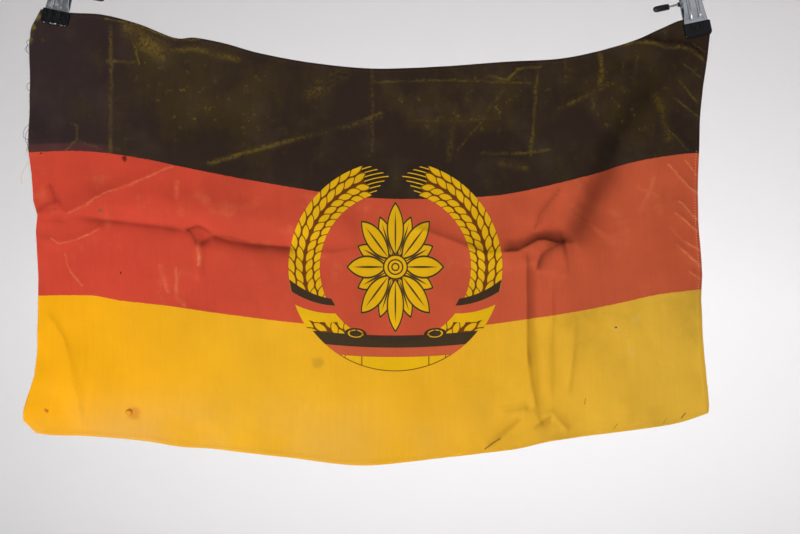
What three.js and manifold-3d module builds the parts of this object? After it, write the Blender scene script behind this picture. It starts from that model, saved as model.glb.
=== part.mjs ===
// A flag of thin printed cotton, hung open by its two top corners from a pair of sprung
// trouser-hanger clips. Each clip turns on the end of a wire hanger bar that passes
// through its ears. Millimetres, +Z up, the flag's face towards -Y. The origin lies
// midway between the places where the two bars pass through the clips.

import * as THREE from 'three';
import Module from 'manifold-3d';
import { mergeVertices } from 'three/addons/utils/BufferGeometryUtils.js';

const wasm = await Module();
wasm.setup();

// ---------------------------------------------------------------- driving dimensions

const GAP = 0.35;                       // left between pieces that touch or grip
const CLOTH = {
  thickness: 1.2,
  columns: 58,
  rows: 36,
};
const CLIPS = {
  span: 906,                            // between the two bar crossings
  rise: 17,                             // the left crossing above the right one
  tilt: THREE.MathUtils.degToRad(12),   // each clip leans in towards the middle
};
const LEAF = {
  thickness: 1,
  pivotOffset: 6.5,                     // from the cloth's plane to the leaf at the bar
  jawHalf: 17,
  barHalf: 14,                          // half its width at the bar
  backExtra: 2,                         // above its jaw the back leaf is this much wider
};
const GROOVE = { centre: 6.5, mouth: 5, floor: 2.4, depth: 0.8, bottom: -27, top: 22 };
const EAR = { inset: 3, pitch: 1.7, thickness: 1, reach: 4, half: 5.5 };
const GRIP = {
  width: 40,
  height: 22,
  top: -30,
  wall: 1.3,
  corner: 6,
  bevel: 0.6,
};
const BAR = { radius: 1.75, outboard: 40, holeClearance: 0.4 };
const SLEEVE = { length: 23, radius: 4.6, grip: 19, sides: 20 };
const COLLAR = { width: 3, radius: 3.5, play: 1 };
const SPRING = {
  wire: 0.6,
  coil: 3.3,
  turns: 5,
  pitch: 1.9,
  legRise: 13,
  legLean: 3.4,
  coiled: 0.7,                          // the share of its length that is in the coil
  steps: 80,
};

// ---------------------------------------------------------------- the cloth's lines
// Hand-set places, [x, z], that the hung cloth's edges and the two borders between its
// three printed bands pass through. Each line is a smooth curve through its places.

const LINES = {
  topEdge: [
    [-483, -19], [-440, -24], [-394, -27], [-343, -40], [-291, -60], [-261, -60],
    [-219, -68], [-168, -82], [-90, -96], [0, -104], [90, -101], [192, -94],
    [265, -90], [320, -79], [369, -65], [407, -48], [441, -34], [476, -31],
  ],
  upperBorder: [
    [-501, -225], [-438, -223], [-391, -226], [-332, -235], [-270, -248], [-182, -265],
    [-53, -286], [34, -292], [149, -289], [215, -280], [303, -259], [369, -239],
    [435, -228], [464, -226],
  ],
  lowerBorder: [
    [-485, -431], [-409, -431], [-367, -438], [-297, -446], [-228, -456], [-124, -469],
    [-53, -474], [91, -478], [149, -474], [215, -465], [281, -455], [348, -442],
    [402, -430], [466, -422],
  ],
  bottomEdge: [
    [-489, -629], [-460, -632], [-414, -633], [-335, -640], [-283, -648], [-228, -652],
    [-124, -664], [-21, -675], [90, -665], [149, -658], [204, -651], [248, -641],
    [303, -633], [386, -622], [435, -614], [477, -600],
  ],
};

// The side edges wander in and out: [z, x] places from top to bottom.
const HOIST_EDGE = [
  [-19, -483], [-45, -497], [-68, -500], [-130, -499], [-225, -501], [-255, -496],
  [-295, -493], [-315, -486], [-340, -489], [-377, -487], [-431, -485], [-501, -487],
  [-547, -492], [-580, -503], [-597, -507], [-611, -507], [-629, -489],
];
const FLY_EDGE = [
  [-32, 476], [-54, 480], [-90, 476], [-130, 470], [-178, 466], [-224, 464],
  [-281, 462], [-325, 463], [-401, 468], [-437, 466], [-519, 471], [-563, 476],
  [-589, 478], [-600, 477],
];
const EDGE_REACH = 45;                  // how far in from a side edge its wander is felt

// ---------------------------------------------------------------- the cloth's folds
// Soft ridges and troughs. `line` is the fold's path, [x, z]; `height` is how far the
// cloth stands forward on it (a trough is negative); `left` and `right` are how far it
// reaches to each side of the path, as seen along it.

const FOLDS = [
  // the long slack fold across the middle band, from the left edge to the motif
  { line: [[-445, -318], [-383, -322], [-332, -328], [-281, -335], [-257, -356]],
    height: -4.5, left: 26, right: 10 },
  { line: [[-260, -358], [-235, -344], [-175, -357], [-110, -361]],
    height: -7, left: 26, right: 11 },
  { line: [[-430, -296], [-330, -300], [-250, -306], [-130, -326], [-20, -336]],
    height: 5, left: 30, right: 22 },
  // the small arch where that fold splits
  { line: [[-276, -340], [-256, -330], [-238, -343]], height: -2.8, left: 8, right: 7 },
  // across the motif
  { line: [[-110, -368], [-60, -370], [-11, -362]], height: 2.4, left: 10, right: 18 },
  { line: [[40, -331], [109, -353], [158, -372], [186, -368]],
    height: 4.5, left: 10, right: 22 },
  // the deep fold right of the motif, its lower rim, and the trough above them
  { line: [[168, -371], [204, -367], [231, -352], [259, -356], [285, -352]],
    height: 6.4, left: 11, right: 26 },
  { line: [[229, -394], [238, -372], [256, -359], [272, -356]],
    height: 6.5, left: 9, right: 18 },
  { line: [[170, -352], [214, -345], [240, -336], [285, -336]],
    height: -4.5, left: 22, right: 14 },
  // the broad valley that climbs from it to the right clip, and the ridge beside it
  { line: [[276, -352], [304, -326], [322, -296], [336, -262], [348, -226], [364, -190],
    [392, -146], [440, -92]], height: -12, left: 22, right: 56, fade: 70 },
  { line: [[262, -312], [278, -292], [304, -232], [320, -198], [350, -152], [396, -104]],
    height: 10, left: 36, right: 24, fade: 50 },
  // the short crease slanting down to it
  { line: [[270, -270], [246, -300], [226, -342]], height: 3.4, left: 8, right: 16 },
  // upright pleats below it
  { line: [[215, -366], [215, -514], [219, -550], [230, -602]],
    height: 4.2, left: 9, right: 26 },
  { line: [[251, -400], [251, -597]], height: 3, left: 9, right: 14 },
  { line: [[287, -450], [280, -524], [273, -588]], height: 3, left: 9, right: 16 },
  // the crumple at the foot of the pleats
  { line: [[219, -588], [236, -606], [252, -601], [279, -629]],
    height: 3.6, left: 8, right: 9 },
  { line: [[221, -590], [182, -629], [154, -652]], height: 3.2, left: 9, right: 8 },
  // the crease down the bottom left corner
  { line: [[-480, -444], [-441, -515], [-428, -567], [-421, -628]],
    height: 3.4, left: 9, right: 20 },
  // the creases out of the left edge's notch
  { line: [[-488, -318], [-442, -312], [-383, -283], [-294, -245]],
    height: 2.6, left: 14, right: 9 },
  { line: [[-472, -266], [-456, -310]], height: 2, left: 8, right: 12 },
  { line: [[-490, -347], [-453, -357], [-404, -340], [-388, -325]],
    height: 2.2, left: 9, right: 9 },
  // the corner drawn up below the right clip
  { line: [[322, -76], [391, -66], [437, -73], [474, -95]],
    height: 4, left: 8, right: 16 },
  { line: [[330, -96], [379, -86], [430, -100]], height: -3, left: 12, right: 14 },
  // the slack below the left clip
  { line: [[-455, -70], [-449, -140], [-452, -215]], height: -3, left: 16, right: 22 },
];
const FOLD_FADE = 26;                   // a fold dies away over this length or its `fade`

// Broad swells of the whole hanging sheet: [x, z, height, reach across, reach down].
const SWELLS = [
  [-330, -420, 9, 170, 190],
  [-20, -520, 10, 260, 150],
  [110, -190, -6, 200, 100],
  [360, -470, 8, 120, 160],
  [-160, -150, -5, 220, 70],
];
const FLAT_AT_CLIP = { inner: 26, outer: 95 };   // the cloth is flat in the jaws

// ---------------------------------------------------------------- small helpers

const COLOURS = {
  cloth: { color: 0xa8452c, roughness: 0.9, metalness: 0 },
  steel: { color: 0xc8ccd2, roughness: 0.2, metalness: 1 },
  grip: { color: 0x151618, roughness: 0.35, metalness: 0 },
};

function named(name, geometry, look) {
  const mesh = new THREE.Mesh(geometry, new THREE.MeshStandardMaterial(look));
  mesh.name = name;
  return mesh;
}

function toSolid(geometry) {
  const bare = geometry.index ? geometry.toNonIndexed() : geometry.clone();
  bare.deleteAttribute('normal');
  bare.deleteAttribute('uv');
  const merged = mergeVertices(bare, 1e-4);
  return new wasm.Manifold(new wasm.Mesh({
    numProp: 3,
    vertProperties: new Float32Array(merged.attributes.position.array),
    triVerts: new Uint32Array(merged.index.array),
  }));
}

function fromSolid(solid) {
  const { vertProperties, triVerts } = solid.getMesh();
  const geometry = new THREE.BufferGeometry();
  geometry.setAttribute('position', new THREE.BufferAttribute(vertProperties, 3));
  geometry.setIndex(new THREE.BufferAttribute(triVerts, 1));
  return geometry;
}

// A rectangular box between two corners.
function block(low, high) {
  const size = high.map((value, axis) => value - low[axis]);
  const middle = high.map((value, axis) => (value + low[axis]) / 2);
  return new THREE.BoxGeometry(...size).translate(...middle);
}

// A round rod along X between two stations.
function rodAlongX(radius, from, to, sides = 16) {
  return new THREE.CylinderGeometry(radius, radius, to - from, sides)
    .rotateZ(-Math.PI / 2)
    .translate((from + to) / 2, 0, 0);
}

// A closed sheet: `place(column, row)` gives the middle surface, and the two faces lie
// half a thickness to each side of it along its own normal.
function sheetSolid(columns, rows, thickness, place) {
  const middle = [];
  for (let row = 0; row <= rows; row += 1) {
    for (let column = 0; column <= columns; column += 1) middle.push(place(column, row));
  }
  const at = (column, row) => middle[row * (columns + 1) + column];
  const clampTo = (value, most) => Math.min(Math.max(value, 0), most);
  const across = new THREE.Vector3();
  const down = new THREE.Vector3();
  const front = [];
  const back = [];
  for (let row = 0; row <= rows; row += 1) {
    for (let column = 0; column <= columns; column += 1) {
      across.subVectors(
        at(clampTo(column + 1, columns), row),
        at(clampTo(column - 1, columns), row),
      );
      down.subVectors(
        at(column, clampTo(row + 1, rows)),
        at(column, clampTo(row - 1, rows)),
      );
      const normal = across.clone().cross(down).normalize().multiplyScalar(thickness / 2);
      back.push(at(column, row).clone().add(normal));
      front.push(at(column, row).clone().sub(normal));
    }
  }
  const positions = [...front, ...back].flatMap((point) => point.toArray());
  const count = front.length;
  const index = [];
  const quad = (a, b, c, d) => index.push(a, b, c, a, c, d);
  const id = (column, row) => row * (columns + 1) + column;
  for (let row = 0; row < rows; row += 1) {
    for (let column = 0; column < columns; column += 1) {
      const a = id(column, row);
      const b = id(column + 1, row);
      const c = id(column + 1, row + 1);
      const d = id(column, row + 1);
      quad(a, d, c, b);
      quad(a + count, b + count, c + count, d + count);
    }
  }
  for (let column = 0; column < columns; column += 1) {
    quad(id(column, 0), id(column + 1, 0), id(column + 1, 0) + count, id(column, 0) + count);
    const a = id(column, rows);
    const b = id(column + 1, rows);
    quad(b, a, a + count, b + count);
  }
  for (let row = 0; row < rows; row += 1) {
    quad(id(0, row + 1), id(0, row), id(0, row) + count, id(0, row + 1) + count);
    const a = id(columns, row);
    const b = id(columns, row + 1);
    quad(a, b, b + count, a + count);
  }
  const geometry = new THREE.BufferGeometry();
  geometry.setAttribute('position', new THREE.Float32BufferAttribute(positions, 3));
  geometry.setIndex(index);
  return geometry;
}

const bell = (value) => Math.exp(-value * value);
const smooth = THREE.MathUtils.smoothstep;

// ---------------------------------------------------------------- the cloth

const curves = Object.values(LINES).map(
  (places) => new THREE.SplineCurve(places.map(([x, z]) => new THREE.Vector2(x, z))),
);
for (const curve of curves) curve.arcLengthDivisions = 800;

// Where a side edge lies at a given height, on straight runs between its places.
function edgeAt(places, z) {
  let run = 0;
  while (run < places.length - 2 && z < places[run + 1][0]) run += 1;
  const [z0, x0] = places[run];
  const [z1, x1] = places[run + 1];
  const share = THREE.MathUtils.clamp((z - z0) / (z1 - z0), 0, 1);
  return x0 + (x1 - x0) * share;
}

// The cubic through the four lines, at thirds of the cloth's height.
function thirds(share) {
  const t = share * 3;
  return [
    -(t - 1) * (t - 2) * (t - 3) / 6,
    t * (t - 2) * (t - 3) / 2,
    -t * (t - 1) * (t - 3) / 2,
    t * (t - 1) * (t - 2) / 6,
  ];
}

function between(across, down) {
  const weights = thirds(down);
  const place = new THREE.Vector2();
  curves.forEach((curve, line) => {
    place.addScaledVector(curve.getPointAt(across), weights[line]);
  });
  return place;
}

// The cloth's place in the hanging plane, from its share across and its share down.
function inPlane(across, down) {
  const place = between(across, down);
  const left = between(0, down);
  const right = between(1, down);
  const span = right.x - left.x;
  const leftShift = edgeAt(HOIST_EDGE, left.y) - left.x;
  const rightShift = edgeAt(FLY_EDGE, right.y) - right.x;
  place.x += leftShift * Math.exp(-across * span / EDGE_REACH);
  place.x += rightShift * Math.exp(-(1 - across) * span / EDGE_REACH);
  return place;
}

// The signed distance from a fold's path, and how far along the path its foot lies.
function fromPath(line, x, z) {
  let best = { distance: Infinity, side: 1, along: 0 };
  let run = 0;
  for (let i = 0; i < line.length - 1; i += 1) {
    const [ax, az] = line[i];
    const dx = line[i + 1][0] - ax;
    const dz = line[i + 1][1] - az;
    const length = Math.hypot(dx, dz);
    const along = ((x - ax) * dx + (z - az) * dz) / length;
    const held = THREE.MathUtils.clamp(along, 0, length);
    const distance = Math.hypot(x - ax - dx * held / length, z - az - dz * held / length);
    if (distance < best.distance) {
      const side = dx * (z - az) - dz * (x - ax) >= 0 ? 1 : -1;
      best = { distance, side, along: run + held };
    }
    run += length;
  }
  return { ...best, length: run };
}

function foldHeight(fold, x, z) {
  const { distance, side, along, length } = fromPath(fold.line, x, z);
  const reach = side > 0 ? fold.left : fold.right;
  const fade = fold.fade ?? FOLD_FADE;
  const ends = smooth(along, 0, fade) * smooth(length - along, 0, fade);
  return fold.height * bell(distance / reach) * ends;
}

// How far the hanging cloth stands forward of the clips' plane.
function forward(x, z) {
  let height = 0;
  for (const [cx, cz, rise, wide, deep] of SWELLS) {
    height += rise * bell((x - cx) / wide) * bell((z - cz) / deep);
  }
  for (const fold of FOLDS) height += foldHeight(fold, x, z);
  for (const jaw of jawCentres) {
    const away = Math.hypot(x - jaw.x, z - jaw.z);
    height *= smooth(away, FLAT_AT_CLIP.inner, FLAT_AT_CLIP.outer);
  }
  return height;
}

function clothPoint(column, row) {
  const place = inPlane(column / CLOTH.columns, row / CLOTH.rows);
  return new THREE.Vector3(place.x, -forward(place.x, place.y), place.y);
}

// ---------------------------------------------------------------- the clips
// A clip is made about its bar: X along the bar, +Z up the handles, the jaws below.

const jawOffset = CLOTH.thickness / 2 + GAP;              // inner face of a grip
const leafInGrip = jawOffset + GRIP.wall + GAP + LEAF.thickness / 2;
const gripBottom = GRIP.top - GRIP.height;
const leafTip = gripBottom + 2;

// The leaf's distance from the cloth's plane, and half its width, at heights up it.
const leafStations = [
  [leafTip, leafInGrip, LEAF.jawHalf],
  [GRIP.top, leafInGrip, LEAF.jawHalf],
  [GRIP.top + 4, leafInGrip + 0.5, 16.6],
  [-18, 5.2, 15.4],
  [-10, 6.3, 14.4],
  [0, LEAF.pivotOffset, LEAF.barHalf],
  [8, 7.6, 13.6],
  [16, 10.4, 14],
  [24, 13.6, 15],
  [30, 15.6, 15.2],
  [32, 15.7, 13.5],
];

// Columns across a leaf, as shares of its half width, with breaks at the two grooves.
function leafColumns(halfWidth) {
  const stops = [GROOVE.centre - GROOVE.mouth / 2, GROOVE.centre - GROOVE.floor / 2,
    GROOVE.centre + GROOVE.floor / 2, GROOVE.centre + GROOVE.mouth / 2];
  const half = [...stops, halfWidth];
  return [...half.map((value) => -value).reverse(), ...half];
}

function leafPlate(face, extra) {
  const columns = leafColumns(1).length - 1;
  const place = (column, row) => {
    const [z, offset, halfWidth] = leafStations[row];
    const x = leafColumns(halfWidth + extra * smooth(z, GRIP.top, -10))[column];
    const inFloor = Math.abs(Math.abs(x) - GROOVE.centre) < GROOVE.mouth / 2 - 0.1;
    const grooved = inFloor && z > GROOVE.bottom && z < GROOVE.top;
    return new THREE.Vector3(x, face * (offset - (grooved ? GROOVE.depth : 0)), z);
  };
  return sheetSolid(columns, leafStations.length - 1, LEAF.thickness, place);
}

// One leaf with its two ears, drilled for the bar. `face` is -1 in front and 1 behind.
function leaf(face, extra, earAt) {
  const start = face * (LEAF.pivotOffset - LEAF.thickness / 4);
  const end = -face * EAR.reach;
  let solid = toSolid(leafPlate(face, extra));
  for (const side of [-1, 1]) {
    const ear = block(
      [side * earAt - EAR.thickness / 2, Math.min(start, end), -EAR.half],
      [side * earAt + EAR.thickness / 2, Math.max(start, end), EAR.half],
    );
    solid = solid.add(toSolid(ear));
  }
  const drill = rodAlongX(BAR.radius + BAR.holeClearance, -earAt - 3, earAt + 3);
  return fromSolid(solid.subtract(toSolid(drill)));
}

// The dipped sleeve on one jaw: a rounded block with a pocket for the leaf's end.
function grip(face) {
  const halfWidth = GRIP.width / 2;
  const thickness = 2 * (GRIP.wall + GAP) + LEAF.thickness;
  const outline = new THREE.Shape();
  const reach = halfWidth - GRIP.bevel;
  const low = gripBottom + GRIP.bevel;
  const high = GRIP.top - GRIP.bevel;
  const round = GRIP.corner;
  outline.moveTo(-reach + round, low);
  outline.lineTo(reach - round, low);
  outline.absarc(reach - round, low + round, round, -Math.PI / 2, 0, false);
  outline.lineTo(reach, high - 1);
  outline.lineTo(reach - 1, high);
  outline.lineTo(-reach + 1, high);
  outline.lineTo(-reach, high - 1);
  outline.absarc(-reach + round, low + round, round, Math.PI, Math.PI * 1.5, false);
  const body = new THREE.ExtrudeGeometry(outline, {
    depth: thickness - 2 * GRIP.bevel,
    bevelEnabled: true,
    bevelSize: GRIP.bevel,
    bevelThickness: GRIP.bevel,
    bevelSegments: 2,
    curveSegments: 4,
  });
  body.rotateX(Math.PI / 2);
  const middle = face * leafInGrip;
  body.translate(0, middle + thickness / 2 - GRIP.bevel, 0);
  const pocketHalf = LEAF.jawHalf + GAP;
  const pocket = block(
    [-pocketHalf, middle - LEAF.thickness / 2 - GAP, leafTip - GAP],
    [pocketHalf, middle + LEAF.thickness / 2 + GAP, GRIP.top + 1],
  );
  return fromSolid(toSolid(body).subtract(toSolid(pocket)));
}

// The torsion spring: close turns round the bar, and a leg up each handle.
class SpringPath extends THREE.Curve {
  getPoint(share, target = new THREE.Vector3()) {
    const legLength = (1 - SPRING.coiled) / 2;
    const half = SPRING.turns * SPRING.pitch / 2;
    if (share < legLength) {
      const up = 1 - share / legLength;
      return target.set(-half, -SPRING.coil - up * SPRING.legLean, up * SPRING.legRise);
    }
    if (share > 1 - legLength) {
      const up = (share - 1 + legLength) / legLength;
      return target.set(half, SPRING.coil + up * SPRING.legLean, up * SPRING.legRise);
    }
    const turned = (share - legLength) / SPRING.coiled;
    const angle = Math.PI + turned * (SPRING.turns - 0.5) * 2 * Math.PI;
    return target.set(
      -half + 2 * half * turned,
      SPRING.coil * Math.cos(angle),
      SPRING.coil * Math.sin(angle),
    );
  }
}

function spring() {
  const section = new THREE.Shape();
  section.absarc(0, 0, SPRING.wire, 0, 2 * Math.PI, false);
  return new THREE.ExtrudeGeometry(section, {
    steps: SPRING.steps,
    curveSegments: 3,
    bevelEnabled: false,
    extrudePath: new SpringPath(),
  });
}

// The black sleeve over the bar's end, a turned cap with a blind bore.
function sleeve(side, start) {
  const bore = BAR.radius + GAP;
  const end = start + SLEEVE.length;
  const profile = [
    [0, end], [SLEEVE.radius * 0.55, end - 0.6], [SLEEVE.radius * 0.9, end - 2.6],
    [SLEEVE.radius, end - 6], [SLEEVE.radius, start + 2], [SLEEVE.radius * 0.86, start],
    [bore, start], [bore, start + SLEEVE.grip], [0, start + SLEEVE.grip],
  ].map(([radius, along]) => new THREE.Vector2(radius, -along));
  return new THREE.LatheGeometry(profile, SLEEVE.sides).rotateZ(side * Math.PI / 2);
}

// The small collar that stops the clip on its bar.
function collar(side) {
  const start = LEAF.barHalf + LEAF.backExtra + COLLAR.play;
  const from = side > 0 ? start : -start - COLLAR.width;
  const outer = toSolid(rodAlongX(COLLAR.radius, from, from + COLLAR.width));
  const hole = rodAlongX(BAR.radius + GAP, from - 1, from + COLLAR.width + 1);
  return fromSolid(outer.subtract(toSolid(hole)));
}

// A whole clip on its bar's end. `inboard` is the side of the bar's black-tipped end.
function clip(label, inboard, sleeveStart) {
  const group = new THREE.Group();
  const frontEar = LEAF.barHalf - EAR.inset;
  const barEnd = sleeveStart + SLEEVE.grip - GAP;
  const from = inboard > 0 ? -BAR.outboard : -barEnd;
  const to = inboard > 0 ? barEnd : BAR.outboard;
  group.add(
    named(`${label}_front_leaf`, leaf(-1, 0, frontEar), COLOURS.steel),
    named(`${label}_back_leaf`, leaf(1, LEAF.backExtra, frontEar + EAR.pitch), COLOURS.steel),
    named(`${label}_front_grip`, grip(-1), COLOURS.grip),
    named(`${label}_back_grip`, grip(1), COLOURS.grip),
    named(`${label}_spring`, spring(), COLOURS.steel),
    named(`${label}_bar`, rodAlongX(BAR.radius, from, to), COLOURS.steel),
    named(`${label}_bar_sleeve`, sleeve(inboard, sleeveStart), COLOURS.grip),
    named(`${label}_bar_collar`, collar(inboard), COLOURS.grip),
  );
  return group;
}

const jawDrop = -(GRIP.top - GRIP.height / 2);
const clipPlaces = [
  { label: 'left', side: -1, sleeveStart: 40 },
  { label: 'right', side: 1, sleeveStart: 33 },
];
const jawCentres = clipPlaces.map(({ side }) => ({
  x: side * (CLIPS.span / 2 + jawDrop * Math.sin(CLIPS.tilt)),
  z: -side * CLIPS.rise / 2 - jawDrop * Math.cos(CLIPS.tilt),
}));

// ---------------------------------------------------------------- the whole

const part = new THREE.Group();
const clothGeometry = sheetSolid(CLOTH.columns, CLOTH.rows, CLOTH.thickness, clothPoint);
part.add(named('flag_cloth', clothGeometry, COLOURS.cloth));
for (const { label, side, sleeveStart } of clipPlaces) {
  const hung = clip(`${label}_clip`, -side, sleeveStart);
  hung.position.set(side * CLIPS.span / 2, 0, -side * CLIPS.rise / 2);
  hung.rotation.y = -side * CLIPS.tilt;
  part.add(hung);
}

export default part;
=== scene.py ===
"""A worn cotton flag, hung open by its top corners from two sprung hanger clips.

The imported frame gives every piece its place. This script makes the fine shapes that ride on it and
gives each its finish: the printed cloth with its folds, wear, hems and frayed edge, and the two
clips on their hanger bars. Sizes are in millimetres, and meshes go out in metres. X runs along the
top of the flag from its left clip to its right one, +Z is up, and the flag's face looks towards -Y.
"""

import logging
import math
from dataclasses import dataclass, field
from enum import Enum
from typing import Sequence

import bpy
import numpy as np
from bpy.types import Material, Node, NodeSocket, Object
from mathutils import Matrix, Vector, noise


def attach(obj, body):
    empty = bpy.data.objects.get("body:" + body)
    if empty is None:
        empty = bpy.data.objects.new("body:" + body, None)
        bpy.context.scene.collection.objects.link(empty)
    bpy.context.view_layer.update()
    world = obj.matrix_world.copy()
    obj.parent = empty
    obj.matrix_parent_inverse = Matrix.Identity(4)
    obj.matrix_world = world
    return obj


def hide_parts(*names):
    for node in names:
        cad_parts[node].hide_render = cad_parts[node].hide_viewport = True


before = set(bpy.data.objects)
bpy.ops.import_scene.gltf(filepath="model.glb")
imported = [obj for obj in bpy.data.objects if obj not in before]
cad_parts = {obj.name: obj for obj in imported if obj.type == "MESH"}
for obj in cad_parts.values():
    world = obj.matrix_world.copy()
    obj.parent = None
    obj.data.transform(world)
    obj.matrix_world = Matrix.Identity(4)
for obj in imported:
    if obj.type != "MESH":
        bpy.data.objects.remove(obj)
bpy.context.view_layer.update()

LOG = logging.getLogger("flag")
MM = 0.001
BODY = "root"
Place = tuple[float, float]
Colour = tuple[float, float, float]


# -------- shader expressions


def linear(red: int, green: int, blue: int) -> Colour:
    """Turn a display colour, 0 to 255, into the linear one that shaders use."""
    shares = (value / 255.0 for value in (red, green, blue))
    return tuple(s / 12.92 if s <= 0.04045 else ((s + 0.055) / 1.055) ** 2.4 for s in shares)


class Wire:
    """A value on a shader socket, written in sums like a number."""

    def __init__(self, painter: "Painter", socket: NodeSocket) -> None:
        """Keep the socket and the painter whose tree it is in."""
        self.painter = painter
        self.socket = socket

    def maths(self, operation: str, *terms: "Wire | float") -> "Wire":
        """Add one Math node.

        Args:
            operation: the Math node's operation.
            terms: the values of its sockets, in order.

        Returns:
            The node's result.
        """
        return self.painter.add("ShaderNodeMath", {"operation": operation}, dict(enumerate(terms)))

    def __add__(self, other: "Wire | float") -> "Wire":
        """Sum of the two."""
        return self.maths("ADD", self, other)

    __radd__ = __add__

    def __sub__(self, other: "Wire | float") -> "Wire":
        """This less the other."""
        return self.maths("SUBTRACT", self, other)

    def __rsub__(self, other: "Wire | float") -> "Wire":
        """The other less this."""
        return self.maths("SUBTRACT", other, self)

    def __mul__(self, other: "Wire | float") -> "Wire":
        """Product of the two."""
        return self.maths("MULTIPLY", self, other)

    __rmul__ = __mul__

    def __truediv__(self, other: "Wire | float") -> "Wire":
        """This over the other."""
        return self.maths("DIVIDE", self, other)

    def __abs__(self) -> "Wire":
        """This without its sign."""
        return self.maths("ABSOLUTE", self)

    def __mod__(self, other: "Wire | float") -> "Wire":
        """What is left of this after whole steps of the other, never negative."""
        return self.maths("FLOORED_MODULO", self, other)

    def __gt__(self, other: "Wire | float") -> "Wire":
        """1 where this is more than the other, and 0 elsewhere."""
        return self.maths("GREATER_THAN", self, other)

    def __lt__(self, other: "Wire | float") -> "Wire":
        """1 where this is less than the other, and 0 elsewhere."""
        return self.maths("LESS_THAN", self, other)

    def least(self, other: "Wire | float") -> "Wire":
        """The lower of the two."""
        return self.maths("MINIMUM", self, other)

    def most(self, other: "Wire | float") -> "Wire":
        """The higher of the two."""
        return self.maths("MAXIMUM", self, other)

    def held(self) -> "Wire":
        """This, held between 0 and 1."""
        return self.painter.add("ShaderNodeClamp", {}, {"Value": self})

    def rise(self, low: float, high: float) -> "Wire":
        """A soft step.

        Args:
            low: the value at which the step starts, where the result is 0.
            high: the value at which it is over, where the result is 1; it may lie below low.

        Returns:
            The step, from 0 to 1.
        """
        settings = {"interpolation_type": "SMOOTHSTEP", "clamp": False}
        sockets = {"Value": self, "From Min": low, "From Max": high}
        return self.painter.add("ShaderNodeMapRange", settings, sockets)


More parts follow.
